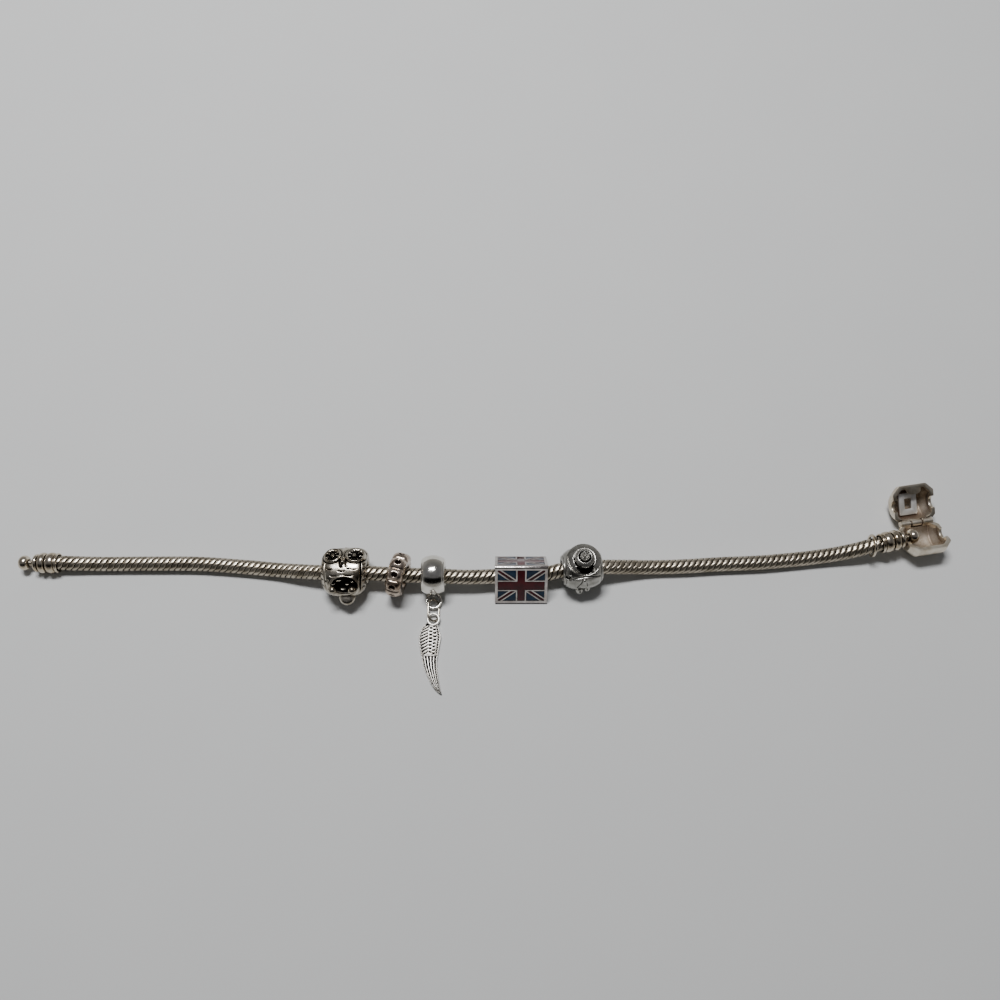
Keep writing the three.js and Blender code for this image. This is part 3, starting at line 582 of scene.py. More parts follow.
washer_radius = 2.45
washer_bore = 1.87
washer_half = 0.24
washer_profile = [
    (-washer_half, washer_bore + 0.05),
    (-washer_half, washer_radius - 0.14),
    (-washer_half + 0.1, washer_radius - 0.02),
    (washer_half - 0.1, washer_radius - 0.02),
    (washer_half, washer_radius - 0.14),
    (washer_half, washer_bore + 0.05),
    (washer_half - 0.06, washer_bore),
    (-washer_half + 0.06, washer_bore),
    (-washer_half, washer_bore + 0.05),
]


def on_route(x):
    """The point of the chain's middle line at a place along X."""
    return np.array([np.interp(x, route_points[:, 0], route_points[:, k]) for k in range(3)])


washer_x = 79.0 + route_shift[0]
washer_centre = on_route(washer_x)
washer_ahead = on_route(washer_x + 1)
washer_lean = math.radians(12)
washer_yaw = math.atan2(*(washer_ahead - washer_centre)[[1, 0]]) - washer_lean
washer_points, washer_faces = turned_about_x(washer_profile, cap_sides)
washer_points = turned_to(washer_points, yaw=washer_yaw, place=washer_centre)
washer = new_piece("stop_washer", washer_points, washer_faces, cap_silver)
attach(washer, "bracelet")
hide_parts("stop_ring")


# The barrel clasp: two cast half barrels on a pinned three part hinge. The lower half is a trough
# for the button head; the upper half, lying open, has a catch tongue and a riveted window plate.
clasp_yaw = math.radians(9)
barrel_length = 9.0
barrel_wall = 0.85
barrel_end_wall = 0.75
barrel_chamfer = 1.6
barrel_gap = 0.06
barrel_hole = 1.25
barrel_roll = -math.radians(28)
lid_swing = -math.radians(123.5)
ball_play = 0.2
head_length = 2.2
hinge_reach = 4.0
knuckle_radius = 0.7
knuckle_row = 3.6
middle_knuckle = 1.1
knuckle_gap = 0.25
pin_radius = 0.28
rod_sides = 32
end_hole_reach = end_length - cap_hold - head_length - ball_play - barrel_end_wall
clasp_axis = np.array([math.cos(clasp_yaw), math.sin(clasp_yaw), 0])
barrel_centre = end_place + end_cap_axis * end_hole_reach + clasp_axis * barrel_length / 2
barrel_centre[2] = barrel_radius


def eased_corners(corners, reach, steps=3):
    """A closed outline whose corners are eased by a short curve that starts at reach from each."""
    eased = []
    for before, corner, after in zip(corners[-1:] + corners[:-1], corners, corners[1:] + corners[:1]):
        before, corner, after = (np.array(p, float) for p in (before, corner, after))
        start = corner + (before - corner) * min(0.45, reach / np.linalg.norm(before - corner))
        end = corner + (after - corner) * min(0.45, reach / np.linalg.norm(after - corner))
        for i in range(steps + 1):
            t = i / steps
            eased.append((1 - t) ** 2 * start + 2 * t * (1 - t) * corner + t**2 * end)
    return eased


def half_barrel(above):
    """Points and faces of one half of the barrel in the clasp's own axes."""
    half, inner = barrel_length / 2, barrel_radius - barrel_wall
    inner_half = half - barrel_end_wall
    inner_chamfer = barrel_chamfer - barrel_end_wall / 2
    wall = [
        (-half, barrel_hole),
        (-half, barrel_radius - barrel_chamfer),
        (-half + barrel_chamfer, barrel_radius),
        (half - barrel_chamfer, barrel_radius),
        (half, barrel_radius - barrel_chamfer),
        (half, barrel_hole),
        (inner_half, barrel_hole),
        (inner_half, inner - inner_chamfer),
        (inner_half - inner_chamfer, inner),
        (-inner_half + inner_chamfer, inner),
        (-inner_half, inner - inner_chamfer),
        (-inner_half, barrel_hole),
    ]
    wall = np.array(eased_corners(wall, 0.16))
    sign = 1 if above else -1
    angle = np.linspace(0, math.pi, 49)
    x = np.repeat(wall[None, :, 0], len(angle), axis=0)
    y = np.cos(angle)[:, None] * wall[None, :, 1]
    z = sign * (barrel_gap + (1 - barrel_gap / barrel_radius) * np.sin(angle)[:, None] * wall[None, :, 1])
    points = np.stack([x, y, z], -1).reshape(-1, 3)
    faces = grid_faces(len(angle), len(wall), closed_columns=True)
    first = list(range(len(wall)))
    last = [(len(angle) - 1) * len(wall) + k for k in first]
    faces += [first, last[::-1]]
    return points, faces


def hinge_rod(radius, start, end, ease):
    """Points and faces of a rod on the hinge's line, with eased ends."""
    profile = [
        (start, 0.01),
        (start, radius - ease),
        (start + ease, radius),
        (end - ease, radius),
        (end, radius - ease),
        (end, 0.01),
    ]
    points, faces = turned_about_x(profile, rod_sides, 0)
    first = list(range(rod_sides))
    last = [len(points) - rod_sides + k for k in first]
    faces = [face[::-1] for face in faces] + [first[::-1], last]
    return points + np.array([0, hinge_reach, 0]), faces


def slab(outline, low, high):
    """Points and faces of a flat outline, given from above against the clock, made thick."""
    outline = np.array(outline)
    count = len(outline)
    points = np.concatenate([np.c_[outline, np.full(count, low)], np.c_[outline, np.full(count, high)]])
    faces = [[k, (k + 1) % count, count + (k + 1) % count, count + k] for k in range(count)]
    return points, faces + [list(range(count))[::-1], [count + k for k in range(count)]]


def worked(piece, tools):
    """The piece after its tools, each a (points, faces) solid and what it does to the piece."""
    bodies = []
    for (points, faces), action in tools:
        body = new_piece("tool", points, faces, piece.data.materials[0])
        bodies.append(body)
        modifier = piece.modifiers.new(action.lower(), "BOOLEAN")
        modifier.object = body
        modifier.operation = action
        modifier.solver = "EXACT"
    bevel = piece.modifiers.new("worn edges", "BEVEL")
    bevel.width = 0.00006
    bevel.segments = 2
    bevel.limit_method = "ANGLE"
    bevel.angle_limit = math.radians(50)
    depsgraph = bpy.context.evaluated_depsgraph_get()
    mesh = bpy.data.meshes.new_from_object(piece.evaluated_get(depsgraph))
    piece.modifiers.clear()
    piece.data = mesh
    mesh.polygons.foreach_set("use_smooth", [True] * len(mesh.polygons))
    mesh.set_sharp_from_angle(angle=math.radians(38))
    for body in bodies:
        bpy.data.objects.remove(body)
    return piece


def set_down(piece, yaw, roll, place, swing=0.0):
    """Swings a piece about the hinge's line, then puts the clasp's axes in the bracelet's."""
    count = len(piece.data.vertices)
    points = np.empty(count * 3, np.float32)
    piece.data.vertices.foreach_get("co", points)
    points = points.reshape(-1, 3).astype(float) * 1000
    points = turned_to(points - [0, hinge_reach, 0], roll=swing) + [0, hinge_reach, 0]
    points = turned_to(points, yaw=yaw, roll=roll, place=place) * 0.001
    piece.data.vertices.foreach_set("co", points.ravel().astype(np.float32))
    piece.data.update()


def brown_inside(piece):
    """Marks the inside of a half barrel as sheltered: its wall, its end walls, not its rim."""
    count = len(piece.data.vertices)
    points = np.empty(count * 3, np.float32)
    piece.data.vertices.foreach_get("co", points)
    x, y, z = points.reshape(-1, 3).T.astype(float) * 1000
    within_wall = np.hypot(y, z) < barrel_radius - barrel_wall + 0.1
    within_ends = np.abs(x) < barrel_length / 2 - barrel_end_wall + 0.1
    inside = within_wall & within_ends & (np.abs(z) > 0.7)
    note_recess(piece.data, np.where(inside, 0.38, 0))


# Cast and brushed: the eye sees a soft cream outside, and brown where the halves shelter it.
clasp_silver = worn_silver(
    "cast_silver_clasp",
    bright="e9e1d1",
    dull="c9bca6",
    oxide="6e5a4b",
    gloss=0.3,
    oxide_and_shade_start=0.12,
    oxide_and_shade_end=0.55,
    fleck=0.25,
    shelter=1.2,
)
notch = middle_knuckle + knuckle_gap
notch_radius = knuckle_radius + knuckle_gap
clasp_base = new_piece("clasp_trough", *half_barrel(False), clasp_silver)
worked(
    clasp_base,
    [
        (hinge_rod(notch_radius, -notch, notch, 0.02), "DIFFERENCE"),
        (hinge_rod(knuckle_radius, -knuckle_row, -notch - 0.03, 0.12), "UNION"),
        (hinge_rod(knuckle_radius, notch + 0.03, knuckle_row, 0.12), "UNION"),
    ],
)
brown_inside(clasp_base)
set_down(clasp_base, clasp_yaw, barrel_roll, barrel_centre)
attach(clasp_base, "bracelet")
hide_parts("clasp_base")

pin_end = knuckle_row + 0.08
clasp_pin = new_piece("hinge_pin", *hinge_rod(pin_radius, -pin_end, pin_end, 0.08), clasp_silver)
set_down(clasp_pin, clasp_yaw, barrel_roll, barrel_centre)
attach(clasp_pin, "bracelet")
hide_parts("hinge_pin")

rim = -(barrel_radius - barrel_wall / 2)
tongue = [
    (-1.75, rim),
    (1.75, rim),
    (1.75, rim + 1.2),
    (1.3, rim + 1.62),
    (0.7, rim + 1.7),
    (-0.5, rim + 1.66),
    (-1.2, rim + 1.15),
]
tongue = eased_corners(tongue, 0.3)
clasp_lid = new_piece("clasp_lid", *half_barrel(True), clasp_silver)
worked(
    clasp_lid,
    [
        (hinge_rod(notch_radius, -knuckle_row - knuckle_gap, -middle_knuckle, 0.02), "DIFFERENCE"),
        (hinge_rod(notch_radius, middle_knuckle, knuckle_row + knuckle_gap, 0.02), "DIFFERENCE"),
        (hinge_rod(knuckle_radius, 0.03 - middle_knuckle, middle_knuckle - 0.03, 0.12), "UNION"),
        (slab(tongue, 0.12, 0.57), "UNION"),
    ],
)
brown_inside(clasp_lid)
set_down(clasp_lid, clasp_yaw, barrel_roll, barrel_centre, lid_swing)
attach(clasp_lid, "lid")
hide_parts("clasp_lid")

# Rolled sheet, left satin: the eye sees a flat cool white frame round a dark window.
plate_silver = worn_silver(
    "rolled_silver_plate",
    bright="f8f6f2",
    dull="ebe8e1",
    oxide="2b2520",
    gloss=0.5,
    oxide_and_shade_start=0.75,
    oxide_and_shade_end=1.5,
    fleck=0.2,
    shelter=0.3,
)
inner_half = barrel_length / 2 - barrel_end_wall / 2 - barrel_chamfer
plate_end = 0.55 * inner_half
plate_low = 1.7
plate_high = 2.15
plate_half = math.sqrt((barrel_radius - barrel_wall) ** 2 - plate_high**2) - 0.3
window_middle = (plate_end - inner_half) / 2


def eased_box(start, end, half_height, ease):
    """A flat box's outline from one place along X to another, with its corners eased."""
    corners = [(start, -half_height), (end, -half_height), (end, half_height), (start, half_height)]
    return eased_corners(corners, ease)


window_half = 0.75
window_half_height = 1.15
plate_outline = eased_box(-inner_half, plate_end, plate_half, 0.25)
window = eased_box(window_middle - window_half, window_middle + window_half, window_half_height, 0.2)
clasp_plate = new_piece("clasp_window_plate", *slab(plate_outline, plate_low, plate_high), plate_silver)
worked(clasp_plate, [(slab(window, plate_low - 0.2, plate_high + 0.25), "DIFFERENCE")])
set_down(clasp_plate, clasp_yaw, barrel_roll, barrel_centre, lid_swing)
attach(clasp_plate, "lid")
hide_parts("clasp_plate")


# The owl: a hollow cast bead that lies on its back, blackened in an acid bath and polished on
# top, so that its eyes, brow, chest marks, belly and feet stand out in bright and black.
bead_bore = 2.3
owl_width = 9.25
owl_reach_up = 5.25
owl_reach_down = 5.3
owl_thickness = 8.6


def centre_of(node):
    """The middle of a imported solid, in millimetres."""
    low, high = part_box(node)
    return (np.array(low) + np.array(high)) * 500


def turns_of(*stretches):
    """Turns round a bead: each stretch goes from one angle to another, in degrees, in so many steps."""
    parts = []
    for start, end, count in stretches:
        parts.append(np.linspace(math.radians(start), math.radians(end), count, endpoint=False))
    return np.concatenate(parts)


def shares_of(count):
    """Places across a bead, from -1 at one rim to 1 at the other, closer together near the rims."""
    return np.sin(np.linspace(-math.pi / 2, math.pi / 2, count))


def bead_points(half_width, bore, turns, across, out_at):
    """Points of a cast bead about its bore along X: its outside from rim to rim, and its bore."""
    turn, share = np.meshgrid(turns, across, indexing="ij")
    out = out_at(share, turn)
    x = share * half_width
    cos, sin = np.cos(turn), np.sin(turn)
    outside = np.stack([x, out * cos, out * sin], -1)
    ends = []
    for edge in (0, -1):
        for part in (0.5, 1.0):
            away = out[:, edge] * (1 - part) + bore * part
            ends.append(np.stack([x[:, edge], away * cos[:, edge], away * sin[:, edge]], -1)[:, None, :])
    return np.concatenate([ends[1], ends[0], outside, ends[2], ends[3]], axis=1)


def cast_bead(name, half_width, bore, turns, across, out_at, place, material, yaw=0.0):
    """A cast bead in its place on the chain; out_at tells how far out its outside lies."""
    points = bead_points(half_width, bore, turns, across, out_at)
    rows, columns = points.shape[:2]
    faces = grid_faces(rows, columns, closed_rows=True, closed_columns=True)
    return new_piece(name, turned_to(points.reshape(-1, 3), yaw=yaw, place=place), faces, material)


def step_up(value, start, end):
    """0 before start, 1 after end, and a smooth rise between them."""
    share = np.clip((value - start) / (end - start), 0, 1)
    return share * share * (3 - 2 * share)


def dash(x, y, middle_x, middle_y, half_length, half_width, bend=0.0):
    """A short engraved stroke along X, as a share of its full depth at each point."""
    off_x = (x - middle_x) / half_length
    off_y = (y - middle_y - bend * off_x**2) / half_width
    return np.exp(-(off_x**4) - off_y**2)


def owl_plain(share, turn):
    """The owl's plain outside: an egg on its back, drawn in at its lower corners."""
    half_y = (owl_reach_up + owl_reach_down) / 2
    middle_y = (owl_reach_up - owl_reach_down) / 2
    cos, sin = np.cos(turn), np.sin(turn)
    a = (cos / half_y) ** 2 + (sin / (owl_thickness / 2)) ** 2
    b = -2 * cos * middle_y / half_y**2
    c = (middle_y / half_y) ** 2 - 1
    plain = (-b + np.sqrt(b * b - 4 * a * c)) / (2 * a)
    corners = step_up(-cos, 0.2, 1.0) * np.abs(share) ** 3 * np.where(share > 0, 0.28, 0.14)
    return plain * (1 - 0.2 * np.abs(share) ** 6 - 0.055 * (share - 0.35) ** 2 - corners)


def owl_relief(share, turn):
    """How far the owl's cast features stand up from its plain outside."""
    x, y = share * owl_width / 2, owl_plain(share, turn) * np.cos(turn)
    face = step_up(np.sin(turn), 0.0, 0.15)
    relief = np.zeros_like(x)
    # Each eye: a sunk bowl of petals round a low boss, a raised ring, and a groove outside it
    for eye_x, eye_across, boss_x in ((-2.36, 1.72, -2.3), (2.45, 1.9, 2.22)):
        off_x, off_y = (x - eye_x) / eye_across, (y - 2.62) / 1.66
        far = np.hypot(off_x, off_y)
        petals = 0.5 + 0.5 * np.cos(11 * np.arctan2(off_y, x - boss_x) + 0.7)
        bowl = 1 - step_up(far, 0.74, 0.86)
        boss = 1 - step_up(np.hypot(x - boss_x, y - 2.62), 0.3, 0.46)
        relief += bowl * (-0.55 + 0.5 * petals**2 * step_up(far, 0.3, 0.5)) * (1 - boss) + boss * 0.05
        relief += 0.26 * near(far, 0.97, 0.11) - 0.24 * near(far, 1.19, 0.07)
    # Beak and brow ridge, with a shadowed cut on both sides of them
    beak = np.exp(-((np.abs(x + 0.05) / 0.34) ** 2.5)) * step_up(y, 0.2, 0.9) * (1 - step_up(y, 1.9, 2.5))
    brow = near(x, 0.05, 0.28) * step_up(y, 2.4, 3.0)
    relief += 0.42 * beak + 0.12 * brow
    beside_beak = step_up(y, -0.1, 0.4) * (1 - step_up(y, 1.7, 2.1))
    relief -= 0.26 * near(np.abs(x + 0.02), 0.62, 0.13) * beside_beak
    relief -= 0.3 * dash(x, y, -0.3, -0.05, 0.3, 0.25)
    # The chest marks: where each one's middle is, and its half length and half width
    for mark in (
        (-2.65, -0.72, 0.42, 0.1),
        (-0.2, -1.15, 0.62, 0.11),
        (2.3, -0.72, 0.52, 0.1),
        (1.2, -0.6, 0.3, 0.09),
        (-1.85, -2.05, 0.62, 0.12),
        (1.3, -1.98, 0.85, 0.11),
        (-3.3, -2.9, 0.34, 0.11),
        (0.7, -0.1, 0.3, 0.08),
    ):
        relief -= 0.3 * dash(x, y, *mark, bend=0.06)
    # The belly: a sunk oval with a few curled feather marks in it
    belly = ((x - 0.4) / 2.75) ** 2 + ((y + 3.65) / 1.42) ** 2
    sunk = 1 - step_up(belly, 0.8, 1.0)
    relief -= 0.42 * sunk
    relief += 0.1 * near(np.sqrt(belly), 1.06, 0.07)
    for mark in (
        (-0.75, -3.05, 0.75, 0.1),
        (1.0, -3.75, 0.45, 0.09),
        (-1.9, -3.7, 0.5, 0.09),
        (0.1, -4.55, 0.7, 0.09),
        (2.1, -3.3, 0.5, 0.09),
    ):
        relief += 0.4 * dash(x, y, *mark, bend=0.18) * sunk
        relief -= 0.16 * dash(x, y, mark[0], mark[1] + 0.24, mark[2], 0.1) * sunk
    # Folded wings: a long groove down each side and three quill lines outside it
    for side in (-1, 1):
        wing = side * x - (3.72 - 0.025 * (y + 1) ** 2)
        long = step_up(y, -4.6, -4.0) * (1 - step_up(y, 1.2, 1.9))
        relief -= 0.34 * near(wing, 0, 0.13) * long * (1.0 if side > 0 else 0.35)
        quills = near((y - 0.9 * side * x) % 0.95, 0.48, 0.13)
        relief -= 0.2 * quills * step_up(wing, 0.25, 0.45) * long
    return relief * face


def owl_out(share, turn):
    """How far out the owl's outside lies, with its features."""
    return owl_plain(share, turn) + owl_relief(share, turn)


def mark_depths(piece, relief, deepest):
    """Notes on every point of a cast bead how deep its relief lies, as a share of the deepest."""
    edge = np.zeros((len(relief), 2))
    note_recess(piece.data, np.concatenate([edge, np.clip(-relief / deepest, -1, 1), edge], axis=1))


# Cast, oxidised, rubbed bright on top: the eye sees brownish silver with black eyes, marks and belly.
owl_silver = worn_silver(
    "cast_silver_oxidised",
    bright="c9c2b4",
    dull="7f7565",
    oxide="0c0a09",
    gloss=0.17,
    oxide_and_shade_start=0.12,
    oxide_and_shade_end=0.72,
    fleck=0.35,
    shelter=0.7,
)
owl_turns = turns_of((0, 180, 250), (180, 360, 60))
owl_across = shares_of(150)
owl_place = np.array([*on_route(centre_of("owl_bead")[0])[:2], owl_thickness / 2])
owl = cast_bead("owl_bead", owl_width / 2, bead_bore, owl_turns, owl_across, owl_out, owl_place, owl_silver)


def rounded_blob(middle, radii, dent=None):
    """Points and faces of an oval lump, and how far a dent in it reaches, if it has one."""
    rises = np.linspace(-math.pi / 2, math.pi / 2, 24)
    angle, rise = np.meshgrid(turns_of((0, 360, 40)), rises, indexing="ij")
    shape = np.stack([np.cos(rise) * np.cos(angle), np.cos(rise) * np.sin(angle), np.sin(rise)], -1)
    points = shape * np.array(radii)
    if dent:
        direction, width, depth = dent
        towards = (shape * (np.array(direction) / np.linalg.norm(direction))).sum(-1)
        points *= (1 - depth * np.exp(-(((1 - towards) / width) ** 2)))[..., None]
    return (points + np.array(middle)).reshape(-1, 3), grid_faces(40, 24, closed_rows=True)


def joined(piece, lumps, place, yaw=0.0):
    """One piece from a bead and the lumps cast with it."""
    parts = [piece]
    for points, faces in lumps:
        lump_points = turned_to(points, yaw=yaw, place=place)
        parts.append(new_piece("lump", lump_points, faces, piece.data.materials[0]))
    chosen = {"active_object": piece, "selected_editable_objects": parts, "selected_objects": parts}
    with bpy.context.temp_override(**chosen):
        bpy.ops.object.join()
    return piece


turn, share = np.meshgrid(owl_turns, owl_across, indexing="ij")
mark_depths(owl, owl_relief(share, turn), deepest=0.32)
owl_tail_y = -owl_reach_down - 1.25 + 1.44
joined(
    owl,
    [
        rounded_blob((-2.1, -4.56, 1.9), (0.92, 0.95, 1.0), ((0, -1, -0.2), 0.25, 0.5)),
        rounded_blob((1.95, -4.56, 1.9), (0.92, 0.95, 1.0), ((0, -1, -0.2), 0.25, 0.5)),
        rounded_blob((0.6, owl_tail_y, -0.86), (1.7, 1.76, 1.0), ((0, -0.5, 1), 0.1, 0.06)),
    ],
    owl_place,
)
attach(owl, "bracelet")
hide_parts("owl_bead")


# The spacer: a narrow cast ring of ten round lobes with an oval dimple in each, worn pinkish
# brown. It leans on the chain, as a loose ring does.
spacer_radius = 4.7
spacer_width = 3.25
spacer_lobes = 10
spacer_lean = math.radians(-14)


def spacer_relief(share, turn):
    """The dimple in each lobe, with a low rim round it."""
    across = share * spacer_width / 2
    lobe_pitch = 2 * math.pi / spacer_lobes
    around = ((turn / lobe_pitch + 0.5) % 1 - 0.5) * lobe_pitch * spacer_radius
    dimple = np.hypot(across / 0.78, around / 0.62)
    rim = 0.05 * near(dimple, 1.16, 0.14)
    return rim - 0.36 * (1 - step_up(dimple, 0.62, 1.0))


def spacer_out(share, turn):
    """How far out the spacer's lobed outside lies, with its dimples."""
    lobe = np.abs(np.cos(spacer_lobes / 2 * turn))
    plain = (spacer_radius - 0.5 * (1 - lobe**0.62)) * (1 - 0.13 * share**4)
    return plain + spacer_relief(share, turn)


# Cast and long worn: the eye sees pinkish brown lobes with black dimples.
spacer_silver = worn_silver(
    "cast_silver_tarnished",
    bright="cfc0b2",
    dull="92806f",
    oxide="120d0b",
    gloss=0.16,
    oxide_and_shade_start=0.15,
    oxide_and_shade_end=0.75,
    fleck=0.3,
    shelter=0.7,
)
spacer_rise = 0.055
spacer_place = centre_of("spacer_bead") + [0, 0, spacer_rise]
spacer_turns = turns_of((0, 360, 360))
spacer_across = shares_of(44)
spacer = cast_bead(
    "spacer_bead",
    spacer_width / 2,
    bead_bore,
    spacer_turns,
    spacer_across,
    spacer_out,
    spacer_place,
    spacer_silver,
    spacer_lean,
)
turn, share = np.meshgrid(spacer_turns, spacer_across, indexing="ij")
mark_depths(spacer, spacer_relief(share, turn), deepest=0.3)
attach(spacer, "bracelet")
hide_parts("spacer_bead")


# The hanger bead and the rings below it: a turned and mirror polished barrel with a soldered
# loop, then a round jump ring and an oval link of bent wire, each closed by a butt joint.
hanger_radius = 4.17
hanger_width = 4.85
loop_turn = math.radians(226)
loop_radius = 0.62
loop_wire = 0.2
jump_radius = 1.5
jump_wire = 0.27
oval_width = 2.52
oval_length = 4.56
oval_wire = 0.24
oval_roll = math.radians(31)
oval_height = 0.95
ring_steps = 72
wire_steps = 16


def wire_ring(radius, wire, run=0.0, cut=None):
    """Points and faces of a bent wire ring in the XY plane, and its butt joint if it has one."""
    angle = turns_of((0, 360, ring_steps))
    around = turns_of((0, 360, wire_steps))
    thick = np.full(len(angle), wire)
    if cut is not None:
        off = (angle - cut + math.pi) % (2 * math.pi) - math.pi
        thick = thick * (1 - 0.3 * near(off * radius, 0, 0.06))
    shift = run / 2 * np.tanh(6 * np.sin(angle))
    out = radius + thick[:, None] * np.cos(around)[None, :]
    x = out * np.cos(angle)[:, None]
    y = out * np.sin(angle)[:, None] + shift[:, None]
    z = thick[:, None] * np.sin(around)[None, :]
    faces = grid_faces(ring_steps, wire_steps, closed_rows=True, closed_columns=True)
    return np.stack([x, y, z], -1).reshape(-1, 3), faces


def hanger_out(share, turn):
    """How far out the hanger bead's barrel lies, with a fine groove beside each rim."""
    x = share * hanger_width / 2
    rim = np.abs(x) - (hanger_width / 2 - 0.32)
    rolled_edge = 0.12 * step_up(np.abs(share), 0.97, 1.0)
    return np.sqrt(hanger_radius**2 - x**2) - 0.05 * near(rim, 0, 0.09) - rolled_edge


# Turned and mirror polished: the eye sees the light, the dark patch and the table in it.
bright_silver = worn_silver(
    "turned_silver_polished",
    bright="eeebe4",
    dull="d9d5cb",
    oxide="1a1613",
    gloss=0.07,
    oxide_and_shade_start=0.3,
    oxide_and_shade_end=1.0,
    fleck=0.15,
    shelter=0.3,
)
hanger_middle = centre_of("hanger_bead")
hanger_place = np.array([*on_route(hanger_middle[0])[:2], hanger_radius])
hanger = cast_bead(
    "hanger_bead",
    hanger_width / 2,
    bead_bore,
    turns_of((0, 360, 128)),
    shares_of(48),
    hanger_out,
    hanger_place,
    bright_silver,
)
mark_recesses(hanger.data, passes=10, depth=0.1)
loop_reach = hanger_radius + 0.7 * loop_radius
loop_middle = np.array([0, loop_reach * math.cos(loop_turn), loop_reach * math.sin(loop_turn)])
loop_points, loop_faces = wire_ring(loop_radius, loop_wire)
loop_points = loop_points[:, [2, 1, 0]] + loop_middle
joined(hanger, [(loop_points, loop_faces)], hanger_place)
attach(hanger, "bracelet")
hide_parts("hanger_bead")

jump_low, jump_high = (np.array(corner) * 1000 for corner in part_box("jump_ring"))
jump_tilt = math.asin(((jump_high - jump_low)[2] / 2 - jump_wire) / jump_radius)
jump_points, jump_faces = wire_ring(jump_radius, jump_wire, cut=math.radians(200))
jump_points = turned_to(jump_points, roll=jump_tilt, place=(jump_low + jump_high) / 2)
jump = new_piece("jump_ring", jump_points, jump_faces, bright_silver)
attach(jump, "bracelet")
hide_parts("jump_ring")

oval_middle = centre_of("link_ring")
oval_run = oval_length - oval_width
oval_points, oval_faces = wire_ring(oval_width / 2, oval_wire, run=oval_run, cut=math.radians(20))
cos, sin = math.cos(oval_roll), math.sin(oval_roll)
oval_points = oval_points @ np.array([[cos, 0, sin], [0, 1, 0], [-sin, 0, cos]]).T
oval_points += [oval_middle[0], oval_middle[1], oval_height]
oval = new_piece("oval_link", oval_points, oval_faces, owl_silver)
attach(oval, "bracelet")
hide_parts("link_ring")


# The wing: cast flat in silver, with raised quill lines left bright and the fields between
# them blackened. A small ring is soldered to its top.
wing_length = 14.7
wing_width = 4.65
wing_thickness = 0.95
wing_edge_drop = 0.47
wing_crown = 0.25
wing_relief = 0.24
wing_ring_radius = 1.17
wing_ring_wire = 0.25
wing_ring_overlap = 0.42
# Down the wing, as a share of its length: its left and right edges, as shares of its width
wing_edges = np.array(
    [
        (0, -0.31, 0.17),
        (0.06, -0.47, 0.24),
        (0.13, -0.59, 0.31),
        (0.2, -0.64, 0.36),
        (0.31, -0.61, 0.31),
        (0.44, -0.52, 0.24),
        (0.55, -0.44, 0.2),
        (0.65, -0.35, 0.22),
        (0.76, -0.2, 0.27),
        (0.85, -0.07, 0.32),
        (0.93, 0.11, 0.38),
        (0.98, 0.28, 0.42),
        (1, 0.4, 0.44),
    ]
)


def line_at(value, width):
    """A flat topped line wherever value is a whole number, as wide as width says."""
    off = np.abs((value + 0.5) % 1 - 0.5)
    return np.exp(-((off / width) ** 4))


def wing_lift(down, share):
    """How far the wing's cast pattern stands up, from 0 in its fields to 1 on its lines."""
    length = down * wing_length
    edge = np.maximum(1 - step_up(share, 0.02, 0.09), step_up(share, 0.91, 0.98))
    # Long quills down the lower half
    bend = share + 0.05 * np.sin(3 * down)
    quills = line_at(5 * bend + 0.12 * np.sin(9 * down), 0.26) * step_up(down, 0.44, 0.5)
    # Short feathers on the left, slanting down to the edge
    short = line_at((length + 2.1 * share) / 0.66, 0.27) * (1 - step_up(share, 0.42, 0.46))
    # Two columns of scale cells, and a strip of dots along the right edge
    staggered = length / 0.72 + 0.5 * (share > 0.64) + 1.2 * (share - 0.55) ** 2
    cells = line_at(staggered, 0.25) * step_up(share, 0.42, 0.46)
    columns = near(share, 0.44, 0.03) + near(share, 0.64, 0.03) + near(share, 0.83, 0.03)
    dots = near(share, 0.9, 0.035) * (0.5 + 0.5 * np.cos(2 * math.pi * length / 0.55))
    upper = np.maximum.reduce([short, cells * (1 - step_up(share, 0.83, 0.86)), columns, dots])
    upper = upper * (1 - step_up(down, 0.44, 0.5)) * step_up(down, 0.02, 0.05)
    band = near(down, 0.465, 0.012)
    return np.clip(np.maximum.reduce([edge, quills, upper, band]), 0, 1)


wing_rows = 300
wing_columns = 90
down, share = np.meshgrid(np.linspace(0, 1, wing_rows), np.linspace(0, 1, wing_columns), indexing="ij")
left = np.interp(down, wing_edges[:, 0], wing_edges[:, 1]) * wing_width
right = np.interp(down, wing_edges[:, 0], wing_edges[:, 2]) * wing_width
lift = wing_lift(down, share)
crown = wing_crown * (1 - (2 * share - 1) ** 4)
rim = step_up(share, 0, 0.03) * (1 - step_up(share, 0.97, 1.0))
top = wing_thickness - wing_edge_drop + crown + wing_relief * lift * (0.4 + 0.6 * rim)
top_points = np.stack([left + (right - left) * share, -down * wing_length, top], -1)
low_points = np.stack([left + (right - left) * share, -down * wing_length, 0 * top + 0.02], -1)
under_columns = [0, 30, 60, wing_columns - 1]
ring_points = np.concatenate([top_points, low_points[:, ::-1][:, under_columns]], axis=1)
columns = ring_points.shape[1]
wing_faces = grid_faces(wing_rows, columns, closed_columns=True)
wing_faces += [list(range(columns)), [(wing_rows - 1) * columns + k for k in range(columns)][::-1]]
wing_low = np.array(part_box("wing_pendant")[0]) * 1000
wing_place = np.array([hanger_middle[0], wing_low[1] + wing_length, 0])
